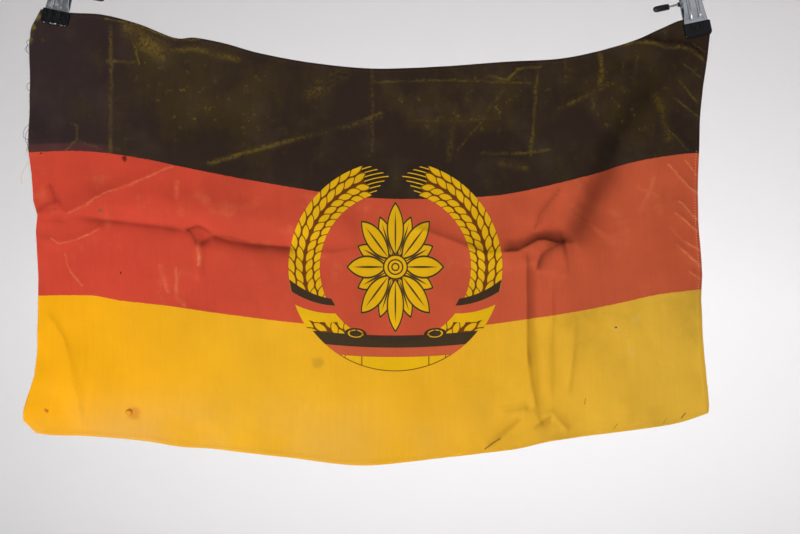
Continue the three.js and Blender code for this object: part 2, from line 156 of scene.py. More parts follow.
class Painter:
    """The node tree of a new material, or of the world, and the few ways of adding to it."""

    def __init__(self, name: str, world: bool = False) -> None:
        """Make a material with its Principled shader, or a world with its Background one.

        Args:
            name: what it is called.
            world: whether it is the world.
        """
        self.made = (bpy.data.worlds if world else bpy.data.materials).new(name)
        self.made.use_nodes = True
        self.tree = self.made.node_tree
        self.shader = self.tree.nodes["Background" if world else "Principled BSDF"]

    def add(
        self,
        kind: str,
        settings: dict[str, object] | None = None,
        sockets: dict[int | str, object] | None = None,
        result: int | str = 0,
    ) -> Wire:
        """Add any node.

        Args:
            kind: the node's type name.
            settings: what is set on the node first; "stops" gives a ramp's places and colours.
            sockets: the values or links of its inputs, by name or number.
            result: the output that is wanted, by name or number.

        Returns:
            The wanted output.
        """
        node = self.tree.nodes.new(kind)
        for key, value in (settings or {}).items():
            if key == "stops":
                self._set_stops(node, value)
            else:
                setattr(node, key, value)
        for key, value in (sockets or {}).items():
            self._feed(node.inputs[key], value)
        return Wire(self, node.outputs[result])

    def _set_stops(self, node: Node, stops: Sequence[tuple[float, Colour]]) -> None:
        """Give a ramp its stops.

        Args:
            node: the ramp.
            stops: two or more pairs, each a place from 0 to 1 and a colour.
        """
        elements = node.color_ramp.elements
        while len(elements) < len(stops):
            elements.new(0.5)
        for element, (place, colour) in zip(elements, stops):
            element.position = place
            element.color = (*colour, 1.0)

    def _feed(self, socket: NodeSocket, value: object) -> None:
        """Link a wire to a socket, or set the socket's own value.

        Args:
            socket: the input that is fed.
            value: a wire, a number, a vector or a colour.
        """
        if isinstance(value, Wire):
            self.tree.links.new(value.socket, socket)
        elif isinstance(value, tuple) and socket.type == "RGBA":
            socket.default_value = (*value, 1.0)
        else:
            socket.default_value = value

    def vector(self, operation: str, *terms: object, result: int | str = 0) -> Wire:
        """Add one Vector Math node.

        Args:
            operation: the node's operation; SCALE takes its number as the last term.
            terms: the values of its sockets, in order.
            result: the output that is wanted.

        Returns:
            The wanted output.
        """
        sockets = dict(enumerate(terms))
        if operation == "SCALE":
            sockets = {0: terms[0], "Scale": terms[1]}
        return self.add("ShaderNodeVectorMath", {"operation": operation}, sockets, result)

    def mix(self, share: Wire | float, first: Wire | Colour, second: Wire | Colour) -> Wire:
        """Mix two colours.

        Args:
            share: how much of the second colour shows, from 0 to 1.
            first: the colour below.
            second: the colour above.

        Returns:
            The mixed colour.
        """
        return self.add("ShaderNodeMix", {"data_type": "RGBA"}, {0: share, 6: first, 7: second}, 2)

    def noise(self, at: Wire, size: float, detail: float = 3.0, roughness: float = 0.55) -> Wire:
        """Cloudy noise.

        Args:
            at: where it is read, in millimetres.
            size: the width of its clouds, in millimetres.
            detail: how many finer layers it has.
            roughness: how strong the finer layers are.

        Returns:
            The noise, about 0 to 1 with its middle at 0.5.
        """
        sockets = {"Vector": at, "Scale": 1.0 / size, "Detail": detail, "Roughness": roughness}
        return self.add("ShaderNodeTexNoise", {}, sockets, "Fac")

    def place(self) -> Wire:
        """Where a point of the surface lies on the whole, in millimetres."""
        return self.vector("SCALE", self.add("ShaderNodeTexCoord", result="Object"), 1.0 / MM)

    def join(self, x: Wire | float, y: Wire | float) -> Wire:
        """A flat vector from its two parts."""
        return self.add("ShaderNodeCombineXYZ", {}, {0: x, 1: y})

    def parts(self, vector: Wire) -> tuple[Wire, Wire, Wire]:
        """A vector's three parts."""
        first = self.add("ShaderNodeSeparateXYZ", {}, {0: vector})
        return tuple(Wire(self, output) for output in first.socket.node.outputs)

    def length(self, x: Wire, y: Wire) -> Wire:
        """How long the flat vector of two parts is."""
        return self.vector("LENGTH", self.join(x, y), result="Value")

    def outside_leaf(self, along: Wire, across: Wire, half: Place) -> Wire:
        """How far outside a pointed leaf a place lies.

        Args:
            along: how far the place lies from the leaf's middle, along it.
            across: how far it lies to either side.
            half: half the leaf's length, and half its width.

        Returns:
            The distance, which is negative inside.
        """
        radius = (half[0] ** 2 + half[1] ** 2) / (2.0 * half[1])
        return self.length(along, abs(across) + (radius - half[1])) - radius

    def outside_path(self, at: Wire, path: Sequence[Place]) -> Wire:
        """How far a place lies from a path of straight runs.

        Args:
            at: the place, as a flat vector.
            path: the ends of its runs.

        Returns:
            The distance to the nearest run.
        """
        nearest = None
        for (x0, z0), (x1, z1) in zip(path, path[1:]):
            run = (x1 - x0, z1 - z0, 0.0)
            square = run[0] ** 2 + run[1] ** 2
            whole = (run[0] / square, run[1] / square, 0.0)
            from_start = self.vector("SUBTRACT", at, (x0, z0, 0.0))
            share = self.vector("DOT_PRODUCT", from_start, whole, result="Value").held()
            foot = self.vector("SCALE", run, share)
            away = self.vector("DISTANCE", from_start, foot, result="Value")
            nearest = away if nearest is None else nearest.least(away)
        return nearest

    def set(self, **values: object) -> None:
        """Set or link the shader's sockets; an underscore in a name stands for a space."""
        for key, value in values.items():
            self._feed(self.shader.inputs[key.replace("_", " ")], value)

    def bump(self, height: Wire, depth: float) -> None:
        """Feed a height in shares of a depth, in millimetres, to the shader's Normal."""
        self.set(Normal=self.add("ShaderNodeBump", {}, {"Height": height, "Distance": depth * MM}))


# -------- mesh making


def make_mesh(
    name: str,
    points: np.ndarray,
    faces: Sequence[Sequence[int]],
    material: Material,
    sharp: float | None = None,
) -> Object:
    """Make one piece that rides on the frame's body.

    Args:
        name: the piece's name.
        points: its vertices, in millimetres.
        faces: its faces, as vertex numbers.
        material: its finish.
        sharp: the angle, in degrees, past which an edge is shaded hard; none for all smooth.

    Returns:
        The new object.
    """
    mesh = bpy.data.meshes.new(name)
    mesh.from_pydata((np.asarray(points) * MM).tolist(), [], faces)
    mesh.materials.append(material)
    mesh.shade_smooth()
    if sharp is not None:
        mesh.set_sharp_from_angle(angle=math.radians(sharp))
    mesh.update()
    made = bpy.data.objects.new(name, mesh)
    bpy.context.scene.collection.objects.link(made)
    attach(made, BODY)
    return made


def report(piece: Object) -> None:
    """Say which piece was made, and how many faces it has."""
    LOG.info("%s: %d faces", piece.name, len(piece.data.polygons))


class Skin:
    """A closed skin over rings of points, each ring with the same number of them."""

    def __init__(self) -> None:
        """Start with nothing."""
        self.points: list[np.ndarray] = []
        self.faces: list[tuple[int, ...]] = []
        self.count = 0

    def add(self, rings: Sequence[np.ndarray], looped: bool = False) -> None:
        """Add one closed body.

        Args:
            rings: rings of points in order, turning the same way.
            looped: whether the last ring joins the first, as on a collar; else the ends are closed.
        """
        size = len(rings[0])
        base = self.count
        for ring in rings:
            self.points.append(np.asarray(ring, float))
        self.count += size * len(rings)
        spans = len(rings) if looped else len(rings) - 1
        for step in range(spans):
            low = base + step * size
            high = base + (step + 1) % len(rings) * size
            for i in range(size):
                j = (i + 1) % size
                self.faces.append((low + i, low + j, high + j, high + i))
        if not looped:
            self._close(base, size, rings[0].mean(axis=0), turned=True)
            self._close(base + (len(rings) - 1) * size, size, rings[-1].mean(axis=0), turned=False)

    def _close(self, start: int, size: int, centre: np.ndarray, turned: bool) -> None:
        """Close one end with a fan about its centre.

        Args:
            start: the number of the end ring's first point.
            size: how many points it has.
            centre: the fan's middle.
            turned: whether the fan faces back along the rings.
        """
        self.points.append(centre[None, :])
        for i in range(size):
            j = (i + 1) % size
            face = (start + i, start + j, self.count)
            self.faces.append(face[::-1] if turned else face)
        self.count += 1

    def array(self) -> np.ndarray:
        """All the points, in one array."""
        return np.concatenate(self.points)


def tube_rings(path: np.ndarray, radii: np.ndarray, sides: int = 8) -> list[np.ndarray]:
    """Rings round a path, turned as little as the path allows.

    Args:
        path: the path's points.
        radii: the tube's radius at each of them.
        sides: how many points a ring has.

    Returns:
        One ring for each point of the path.
    """
    along = np.gradient(path, axis=0)
    along /= np.linalg.norm(along, axis=1, keepdims=True)
    side = np.cross(along[0], (0.0, 0.0, 1.0))
    if np.linalg.norm(side) < 0.1:
        side = np.cross(along[0], (1.0, 0.0, 0.0))
    angles = np.arange(sides) / sides * 2.0 * math.pi
    rings = []
    for point, direction, radius in zip(path, along, radii):
        side = side - direction * side.dot(direction)
        side /= np.linalg.norm(side)
        other = np.cross(direction, side)
        circle = np.outer(np.cos(angles), side) + np.outer(np.sin(angles), other)
        rings.append(point + radius * circle)
    return rings


def rise(value: np.ndarray | float, low: float, high: float) -> np.ndarray:
    """A smooth step from 0 at low to 1 at high."""
    share = np.clip((np.asarray(value, float) - low) / (high - low), 0.0, 1.0)
    return share * share * (3.0 - 2.0 * share)


def bell(value: np.ndarray) -> np.ndarray:
    """A soft hump, 1 high at 0."""
    return np.exp(-np.square(value))


def curve_through(places: Sequence[Sequence[float]], shares: np.ndarray, by_length: bool) -> np.ndarray:
    """Read a smooth curve through a few places.

    Args:
        places: the places, each of any number of parts.
        shares: how far along the curve each wanted point lies, from 0 to 1.
        by_length: whether shares are of the curve's length; else each span between places is equal.

    Returns:
        One row for each share.
    """
    knots = np.asarray(places, float)
    last = len(knots) - 1
    at = np.linspace(0.0, last, 60 * last + 1) if by_length else np.asarray(shares) * last
    span = np.minimum(at.astype(int), last - 1)
    w = (at - span)[:, None]
    before, start = knots[np.maximum(span - 1, 0)], knots[span]
    end, after = knots[span + 1], knots[np.minimum(span + 2, last)]
    out, back = (end - before) / 2.0, (after - start) / 2.0
    cubic = (2.0 * start - 2.0 * end + out + back) * w + (3.0 * end - 3.0 * start - 2.0 * out - back)
    points = (cubic * w + out) * w + start
    if not by_length:
        return points
    steps = np.linalg.norm(np.diff(points, axis=0), axis=1)
    length = np.concatenate(([0.0], np.cumsum(steps)))
    length /= length[-1]
    return np.stack([np.interp(shares, length, column) for column in points.T], axis=-1)


def spaced(length: float, count: int, crowded: Sequence[tuple[float, float, float]]) -> np.ndarray:
    """Stations along a length, closer together where they are needed.

    Args:
        length: the whole length.
        count: how many spans there are.
        crowded: places along it, how far round each it is crowded, and by how much.

    Returns:
        The stations, as shares of the length.
    """
    fine = np.linspace(0.0, length, 4001)
    wanted = np.ones_like(fine)
    for place, reach, gain in crowded:
        wanted += gain * bell((fine - place) / reach)
    total = np.concatenate(([0.0], np.cumsum((wanted[1:] + wanted[:-1]) / 2.0)))
    return np.interp(np.linspace(0.0, total[-1], count + 1), total, fine) / length


def grid_normals(middle: np.ndarray) -> np.ndarray:
    """The unit normals of a grid of points.

    Args:
        middle: the points, rows by columns, for a sheet that is seen from -Y.

    Returns:
        The normals, towards -Y.
    """
    across = np.gradient(middle, axis=1)
    down = np.gradient(middle, axis=0)
    normals = np.cross(down, across)
    return normals / np.linalg.norm(normals, axis=2, keepdims=True)


def sheet_faces(rows: int, columns: int) -> np.ndarray:
    """Close a sheet of two layers over a grid.

    Args:
        rows: how many cells it has down.
        columns: how many it has across.

    Returns:
        Quads; the front layer's vertices come first, then the back layer's, each row by row.
    """
    numbers = np.arange((rows + 1) * (columns + 1)).reshape(rows + 1, columns + 1)
    count = numbers.size
    front = np.stack([numbers[:-1, :-1], numbers[1:, :-1], numbers[1:, 1:], numbers[:-1, 1:]], axis=-1)
    rim = np.concatenate([numbers[0, :0:-1], numbers[:-1, 0], numbers[-1, :-1], numbers[:0:-1, -1]])
    after = np.roll(rim, -1)
    edge = np.stack([after, rim, rim + count, after + count], axis=-1)
    return np.concatenate([front.reshape(-1, 4), front[..., ::-1].reshape(-1, 4) + count, edge])


# -------- finishes


class Slot(Enum):
    """The record's material slots."""

    COTTON = "printed_cotton"
    CLIP_STEEL = "clip_steel"
    GRIP = "dipped_grip"
    SPRING_WIRE = "spring_wire"
    BAR_WIRE = "bar_wire"
    PLASTIC = "bar_plastic"


class Finish:
    """A finish that a new material can be given."""

    def lay(self, paint: Painter) -> None:
        """Lay the finish.

        Args:
            paint: the new material's painter.
        """
        raise NotImplementedError

    def make(self, name: str) -> Material:
        """Make a material with this finish.

        Args:
            name: the material's name.

        Returns:
            The material.
        """
        paint = Painter(name)
        self.lay(paint)
        return paint.made


@dataclass(frozen=True)
class PlatedSteel(Finish):
    """Bright nickel plate, wiped and a little scratched."""

    colour: Colour = linear(206, 210, 217)
    haze: Colour = linear(150, 154, 162)
    smooth: float = 0.10
    dull: float = 0.34

    def lay(self, paint: Painter) -> None:
        """Plate it, wipe it and draw fine lines up it.

        Args:
            paint: the new material's painter.
        """
        at = paint.place()
        smear = paint.noise(at, 9.0, 4.0)
        drawn = paint.noise(paint.vector("MULTIPLY", at, (6.0, 6.0, 0.5)), 1.6, 3.0)
        worn = (smear.rise(0.42, 0.68) * 0.6 + drawn.rise(0.5, 0.7) * 0.4).held()
        paint.set(
            Metallic=1.0,
            Base_Color=paint.mix(worn * 0.6, self.colour, self.haze),
            Roughness=self.smooth + worn * (self.dull - self.smooth),
        )
        paint.bump(drawn * 0.7 + smear * 0.3, 0.02)


@dataclass(frozen=True)
class DippedVinyl(Finish):
    """Soft black dip, glossy, with a slight skin."""

    colour: Colour = linear(13, 14, 17)
    rubbed: Colour = linear(46, 50, 58)

    def lay(self, paint: Painter) -> None:
        """Dip it, and scuff the skin.

        Args:
            paint: the new material's painter.
        """
        at = paint.place()
        skin = paint.noise(at, 5.5, 2.0)
        scuffs = paint.noise(at, 1.1, 4.0).rise(0.6, 0.78) * paint.noise(at, 9.0).rise(0.45, 0.7)
        paint.set(
            Base_Color=paint.mix(scuffs, self.colour, self.rubbed),
            Roughness=0.1 + scuffs * 0.35 + skin * 0.06,
            Specular_IOR_Level=0.3,
        )
        paint.bump(skin + scuffs * 0.1, 0.9)


@dataclass(frozen=True)
class DrawnWire(Finish):
    """Steel wire with fine marks drawn along it, and a dusting of rust."""

    colour: Colour
    rust: Colour = linear(110, 78, 52)
    smooth: float = 0.22

    def lay(self, paint: Painter) -> None:
        """Draw the wire, and let it rust in specks.

        Args:
            paint: the new material's painter.
        """
        at = paint.place()
        lines = paint.noise(paint.vector("MULTIPLY", at, (0.3, 5.0, 5.0)), 1.5, 3.0)
        specks = paint.noise(at, 2.2, 5.0).rise(0.62, 0.76)
        paint.set(
            Metallic=1.0 - specks * 0.7,
            Base_Color=paint.mix(specks * 0.7, self.colour, self.rust),
            Roughness=self.smooth + lines * 0.16 + specks * 0.3,
        )
        paint.bump(lines + specks * 0.4, 0.03)


@dataclass(frozen=True)
class MouldedPlastic(Finish):
    """Black moulded plastic with a fine grain."""

    colour: Colour = linear(20, 20, 22)
    scuffed: Colour = linear(62, 62, 66)

    def lay(self, paint: Painter) -> None:
        """Mould it with a fine grain, and scuff it.

        Args:
            paint: the new material's painter.
        """
        at = paint.place()
        grain = paint.noise(at, 0.7, 2.0)
        scuffs = paint.noise(at, 2.0, 4.0).rise(0.6, 0.8)
        paint.set(
            Base_Color=paint.mix(scuffs * 0.7, self.colour, self.scuffed),
            Roughness=0.34 + grain * 0.1 + scuffs * 0.2,
        )
        paint.bump(grain, 0.05)


@dataclass(frozen=True)
class WallPaint(Finish):
    """Pale matt paint over fine plaster."""

    colour: Colour = linear(226, 224, 225)

    def lay(self, paint: Painter) -> None:
        """Paint it.

        Args:
            paint: the new material's painter.
        """
        grain = paint.noise(paint.place(), 12.0, 4.0)
        paint.set(Base_Color=self.colour, Roughness=0.86 + grain * 0.08)
        paint.bump(grain, 0.1)


class Mark(Enum):
    """How a line of wear looks on the cloth."""

    RUBBED = "rubbed"
    FAINT = "faint"
    PALE = "pale"
    DARK = "dark"


@dataclass(frozen=True)
class Line:
    """A line of wear: its path in the hanging plane, in millimetres, its half width and strength."""

    kind: Mark
    path: tuple[Place, ...]
    half: float
    strength: float


def worn_lines(kind: Mark, *rows: tuple[tuple[Place, ...], float, float]) -> tuple[Line, ...]:
    """Lines of wear of one kind, each from its path, its half width and its strength."""
    return tuple(Line(kind, *row) for row in rows)


@dataclass(frozen=True)
class Spot:
    """A round stain or burn: its place, its radius, its colour and how strongly it shows."""

    x: float
    z: float
    radius: float
    colour: Colour
    strength: float


@dataclass(frozen=True)
class Row:
    """A pair of rows of grains, one each side of the wreath's middle line.

    Each grain starts `offset` from that line, leans `lean` degrees outward, and the pair stands
    `shift` behind the others.
    """

    offset: float
    lean: float
    shift: float


@dataclass(frozen=True)
class Emblem:
    """The printed device in the middle of the flag: a wreath of grain ears round a rosette.

    The ears end in awns at the top, and a ribbon in the flag's three colours ties them at the foot.
    It is drawn in millimetres of the hanging plane, and is the same on both sides of its upright line.
    A petal has its first turn in radians, its middle's distance and its half sizes; their `vein` is
    set in from the middle, a share of the petal's length long and so wide to each side.
    """

    centre: Place = (27.2, -390.0)
    ring: float = 131.0
    half: float = 22.2
    pitch: float = 15.2
    leaf: tuple[float, float] = (11.4, 5.1)
    first: float = 36.0
    wreath_end: float = 366.0
    wisp_end: float = 402.0
    fine: float = 0.7
    bold: float = 1.05
    rows: tuple[Row, ...] = (Row(14.4, 24.0, 0.0), Row(10.0, -20.0, 7.6), Row(3.0, 21.0, 0.0))
    band_at: float = 163.5
    band_half: float = 7.6
    gap_at: float = 147.5
    gap_half: float = 8.5
    plain_at: float = 130.0
    plain_half: float = 9.0
    slant: float = 0.88
    tie_top: float = 98.0
    tie_dark: float = 115.5
    tie_red: float = 129.0
    outside: float = 149.5
    field_radius: float = 109.0
    field_top: float = -60.0
    stretch: float = 1.34
    soft: float = 0.4
    petals: tuple[tuple[float, float, Place], ...] = (
        (math.pi / 8.0, 35.0, (23.0, 9.0)),
        (0.0, 41.0, (28.0, 11.5)),
    )
    vein: tuple[float, float, float] = (4.0, 0.6, 0.6)
    discs: tuple[float, ...] = (17.0, 10.5, 5.0)
    wisp_first: float = 21.0
    wisp_pitch: float = 6.0
    wisp_half: float = 19.5
    sag: float = 0.0005
    loop_at: Place = (57.0, 97.0)
    loop_half: float = 8.0

    def over(
        self, drawn: tuple[Wire, Wire], outside: Wire, half: float, shown: Wire | float = 1.0
    ) -> tuple[Wire, Wire]:
        """Lay one outlined shape over what is drawn.

        Args:
            drawn: the masks so far, of all that is printed and of its dark lines.
            outside: how far outside the shape a place lies.
            half: half the width of its outline.
            shown: 1 where the shape may be, and 0 elsewhere.

        Returns:
            The two masks with the shape laid over them.
        """
        cover, ink = drawn
        outer = outside.rise(half + self.soft, half - self.soft) * shown
        inner = outside.rise(self.soft - half, -self.soft - half)
        return cover.most(outer), ink * (1.0 - outer) + outer * (1.0 - inner)

    def wreath(self, paint: Painter, along: Wire, across: Wire) -> tuple[Wire, Wire]:
        """Draw the ears.

        Args:
            paint: the material's painter.
            along: how far along the wreath a place lies, from the foot up either side.
            across: how far out from its middle line.

        Returns:
            The masks of all that is printed and of its dark lines.
        """
        aside = abs(across)
        backing = (aside < self.half) * (along < self.wreath_end)
        backing = backing * (along > self.first)
        drawn = (backing, backing)
        for row in self.rows:
            step = (along + row.shift) % self.pitch
            start = along - step
            lean = math.radians(row.lean)
            side = aside - row.offset
            for back in (0.0, self.pitch):
                shown = (start - back < self.wreath_end - self.pitch) * (start - back > self.first)
                reach = step + back
                ahead = reach * math.cos(lean) + side * math.sin(lean) - self.leaf[0]
                beside = side * math.cos(lean) - reach * math.sin(lean)
                leaf = paint.outside_leaf(ahead, beside, self.leaf)
                drawn = self.over(drawn, leaf, self.fine, shown)
        return drawn[0] * aside.rise(self.half + 0.5, self.half), drawn[1]

    def rosette(self, paint: Painter, drawn: tuple[Wire, Wire], u: Wire, v: Wire) -> tuple[Wire, Wire]:
        """Draw the flower in the middle, a little taller than it is wide.

        Args:
            paint: the material's painter.
            drawn: the masks so far.
            u: how far right of the middle.
            v: how far down from it.

        Returns:
            The masks with the flower laid over them.
        """
        tall = v / self.stretch
        away = paint.length(u, tall)
        angle = u.maths("ARCTAN2", tall, u)
        eighth = math.pi / 4.0
        inset, share, thin = self.vein
        for turn, middle, half in self.petals:
            folded = (angle + (turn + eighth / 2.0)) % eighth - eighth / 2.0
            ahead = away * folded.maths("COSINE", folded) - middle
            aside = away * folded.maths("SINE", folded)
            drawn = self.over(drawn, paint.outside_leaf(ahead, aside, half), self.bold)
            vein = paint.outside_leaf(ahead + inset, aside, (half[0] * share, thin))
            drawn = (drawn[0], drawn[1].most(vein.rise(0.9, 0.1)))
        disc = paint.length(u, v)
        for radius in self.discs:
            drawn = self.over(drawn, disc - radius, self.bold)
        return drawn

    def paint(self, paint: Painter, u: Wire, v: Wire) -> dict[str, Wire]:
        """Draw the whole device.

        Args:
            paint: the material's painter.
            u: how far right of its middle a place lies.
            v: how far down from it.

        Returns:
            Masks: "field" inside the wreath, "cover" for all that is printed, and in it the brown
            "ink", the "dark" bands and lines, and the red "stripe".
        """
        away = paint.length(u, v)
        along = u.maths("ARCTAN2", abs(u), v) * self.ring
        across = away - self.ring
        cover, ink = self.wreath(paint, along, across)
        wisps = abs((across + self.wisp_first) % self.wisp_pitch - self.wisp_pitch / 2.0).rise(0.95, 0.45)
        wisps = wisps * abs(across).rise(self.wisp_half, self.wisp_half - 0.5)
        wisps = wisps * (along > self.wreath_end - 8.0) * (along + abs(across) * 1.2 < self.wisp_end)
        cover = cover.most(wisps)
        slanted = along - across * self.slant
        kept = abs(slanted - self.gap_at).rise(self.gap_half - self.soft, self.gap_half + self.soft)
        plain = abs(slanted - self.plain_at)
        plain = plain.rise(self.plain_half - self.soft, self.plain_half + self.soft)
        sag = v + u * u * self.sag
        above = kept * (sag < self.tie_top + 1.0)
        cover, ink = cover * above, ink * above * plain
        dark = abs(slanted - self.band_at)
        dark = dark.rise(self.band_half + self.soft, self.band_half - self.soft)
        dark = dark * abs(across + 3.5).rise(26.0, 25.2)
        tie = (sag > self.tie_top) * away.rise(self.outside + self.soft, self.outside - self.soft)
        dark = dark.most(tie * (sag < self.tie_dark))
        stripe = tie * (sag > self.tie_dark) * (sag < self.tie_red)
        lines = abs(abs(abs(u) - 60.0) - 12.0).rise(1.0, 0.4).most(away > self.outside - 1.4)
        cover, ink = cover.most(tie).most(dark), ink * (1.0 - tie) + tie * lines
        loop = paint.length((abs(u) - self.loop_at[0]) * 0.5, sag - self.loop_at[1])
        dark = dark.most(loop < self.loop_half) * (abs(loop - 5.0) > 0.6)
        cover = cover.most(loop < self.loop_half)
        cover, dark = self.rosette(paint, (cover, dark), u, v)
        field = (away < self.field_radius) * (v > self.field_top)
        return {"field": field, "cover": cover, "ink": ink, "dark": dark, "stripe": stripe}


@dataclass(frozen=True)
class Ground:
    """What the cotton's wear is laid by: where a place lies, and what is printed there.

    `s` and `t` are its distances from the cloth's left and top edges as cut, and `x` and `z` its
    place in the hanging plane, in millimetres; `flat` is that place, and `wavered` the same, a little
    astray. `broken` is fine noise, and the rest are masks.
    """

    s: Wire
    t: Wire
    x: Wire
    z: Wire
    flat: Wire
    wavered: Wire
    broken: Wire
    device: dict[str, Wire]
    black: Wire
    red: Wire
    yellow: Wire


@dataclass(frozen=True)
class PrintedCotton(Finish):
    """Thin plain-weave cotton, printed in three bands, long used and folded, worn and stained."""

    black: Colour = linear(48, 35, 26)
    black_hoist: Colour = linear(50, 37, 38)
    plum: Colour = linear(84, 46, 46)
    olive: Colour = linear(66, 53, 18)
    bright_olive: Colour = linear(130, 108, 34)
    red: Colour = linear(208, 70, 49)
    red_fly: Colour = linear(203, 90, 56)
    amber: Colour = linear(230, 132, 86)
    yellow_hoist: Colour = linear(248, 174, 6)
    yellow: Colour = linear(240, 178, 32)
    yellow_fly: Colour = linear(234, 184, 60)
    gold: Colour = linear(236, 184, 10)
    gold_ink: Colour = linear(112, 58, 16)
    soot: Colour = linear(58, 46, 32)
    cream: Colour = linear(205, 176, 130)
    dusty: Colour = linear(100, 84, 64)
    # painted shade colours: the cloth darkens towards shadow on the black and red bands and towards umber
    # on the yellow one, on upward-facing slopes, in creases and in the weave's random tone
    shadow: Colour = linear(24, 8, 2)
    umber: Colour = linear(128, 76, 4)
    border: float = 200.0
    thread: float = 0.6
    waver: float = 7.0
    emblem: Emblem = Emblem()
    lines: tuple[Line, ...] = (
        *worn_lines(
            Mark.RUBBED,
            # rubbed pale along old creases of the black band
            (((-383, -43), (-381, -100), (-383, -170), (-382, -240)), 3.4, 0.7),
            (((232, -104), (228, -164), (222, -229)), 2.6, 0.7),
            (((321, -78), (325, -104), (322, -128)), 3.8, 0.95),
            (((-240, -241), (-226, -237), (-165, -219), (-120, -207)), 4, 0.85),
            (((-4, -124), (106, -121), (221, -125)), 2, 0.6),
            (((-14, -175), (8, -168)), 2.6, 0.9),
            (((152, -226), (200, -227), (250, -221)), 2.4, 0.8),
            (((180, -240), (214, -247)), 6, 0.6),
            (((163, -114), (189, -122), (202, -105), (235, -101)), 2.4, 0.9),
            (((276, -156), (300, -145), (322, -134)), 4.2, 0.8),
            (((322, -76), (368, -67), (391, -66), (408, -71)), 3.2, 1),
            (((408, -71), (417, -75), (437, -73), (454, -78), (474, -95)), 3.2, 1),
            (((404, -143), (414, -165), (420, -205)), 7, 0.6),
            (((-439, -183), (-430, -188), (-431, -207), (-448, -224)), 2.2, 1),
            (((-357, -48), (-336, -66), (-308, -82)), 15, 1),
            (((-357, -48), (-347, -76), (-343, -98)), 2.2, 1),
            (((-300, -78), (-262, -76), (-200, -92)), 5, 0.7),
            (((-392, -33), (-343, -42), (-291, -63), (-254, -62)), 1.8, 1),
            (((-488, -24), (-495, -38), (-498, -66)), 4, 1),
            (((-386, -94), (-350, -95)), 3, 0.8),
            # drawn threads by the right hem
            (((440, -96), (466, -118)), 1.5, 0.9),
            (((436, -120), (462, -154)), 1.5, 0.9),
            (((430, -146), (464, -174)), 1.8, 1),
            (((420, -190), (448, -222)), 1.8, 0.8),
            (((456, -68), (474, -82)), 1.5, 0.8),
        ),
        *worn_lines(
            Mark.FAINT,
            # rubbed pale along old creases of the black band
            (((-6, -104), (-5, -164), (-6, -224)), 2.6, 0.9),
            (((323, -110), (320, -134), (310, -161)), 4.2, 1),
            (((114, -157), (111, -190), (104, -234)), 5, 0.8),
            (((-165, -219), (-53, -190), (6, -173)), 4.4, 1),
            (((183, -136), (164, -158), (146, -188), (116, -222)), 2.4, 1),
            (((48, -178), (91, -180), (178, -176)), 2.2, 0.8),
            (((-100, -142), (-76, -130), (-50, -110)), 12, 1),
            (((262, -163), (300, -145), (344, -124)), 3.2, 0.9),
            (((376, -86), (373, -112)), 4, 0.9),
            (((271, -89), (273, -116)), 4, 0.8),
            (((414, -43), (415, -64)), 3.4, 0.8),
            (((-429, -210), (-418, -212), (-384, -226)), 2.4, 0.9),
        ),
        *worn_lines(
            Mark.PALE,
            # scratched pale on the red one
            (((-442, -312), (-414, -300), (-392, -284), (-349, -271), (-294, -245)), 1.7, 0.6),
            (((-467, -349), (-453, -357), (-431, -351), (-396, -335)), 1.5, 0.7),
            (((-448, -371), (-440, -396), (-422, -417)), 1.7, 0.6),
            (((-255, -355), (-254, -385)), 3.6, 0.8),
            (((-310, -390), (-299, -425)), 4, 0.4),
            (((-286, -392), (-287, -432), (-276, -444)), 3.4, 0.5),
            (((-287, -270), (-286, -290)), 3.6, 0.6),
            (((420, -243), (447, -273), (462, -286)), 1.8, 1),
            (((431, -200), (447, -222)), 1.7, 0.8),
            (((435, -295), (462, -322)), 1.8, 1),
            (((430, -312), (462, -338)), 1.8, 1),
            (((445, -354), (464, -366)), 1.6, 0.9),
            (((424, -334), (440, -352), (454, -361)), 1.4, 0.7),
            (((444, -236), (461, -258)), 1.4, 0.8),
            (((431, -358), (466, -389)), 1.8, 1),
            (((450, -397), (466, -408)), 1.7, 0.9),
            (((400, -262), (391, -286), (380, -310)), 4, 0.35),
            (((376, -274), (404, -288)), 3.4, 0.3),
        ),
        *worn_lines(
            Mark.DARK,
            # small slits in the yellow one
            (((300, -579), (299, -587)), 0.7, 0.7),
            (((346, -615), (341, -622)), 0.7, 0.5),
            (((417, -607), (412, -615)), 0.7, 0.4),
            (((444, -600), (438, -607)), 0.9, 0.9),
            (((177, -636), (166, -643), (156, -651)), 1.1, 0.9),
        ),
    )
    spots: tuple[Spot, ...] = (
        Spot(-362, -234, 5.5, linear(74, 24, 14), 0.85),
        Spot(-483, -227, 2.4, linear(66, 26, 18), 0.9),
        Spot(-366, -399, 2.4, linear(60, 24, 18), 0.9),
        Spot(-396, -308, 4.2, linear(110, 84, 56), 0.7),
        Spot(-348, -600, 13, linear(206, 116, 40), 0.5),
        Spot(-355, -598, 6.6, linear(128, 58, 20), 0.95),
        Spot(-356, -600, 4.6, linear(240, 158, 26), 1),
        Spot(-474, -596, 4, linear(178, 84, 34), 0.8),
        Spot(-488, -30, 6.5, linear(120, 106, 54), 0.8),
        Spot(-494, -44, 5.5, linear(112, 98, 48), 0.8),
        Spot(-498, -62, 4.5, linear(104, 90, 50), 0.7),
        Spot(-84, -527, 12, linear(196, 148, 44), 0.6),
        Spot(344, -478, 6.5, linear(236, 188, 92), 0.7),
        Spot(344, -477, 2.2, linear(84, 58, 24), 1),
        Spot(366, -512, 9, linear(232, 190, 96), 0.3),
        Spot(372, -466, 12, linear(228, 186, 92), 0.3),
    )

    def worn(self, paint: Painter, at: Wire, kind: Mark) -> Wire:
        """Draw all lines of wear of one kind.

        Args:
            paint: the material's painter.
            at: the place, as a flat vector.
            kind: the wanted kind.

        Returns:
            Their mask.
        """
        total = None
        for line in self.lines:
            if line.kind is kind:
                near = paint.outside_path(at, line.path).rise(line.half * 2.3, 0.0)
                near = near * near * near * line.strength
                total = near if total is None else total.most(near)
        return total

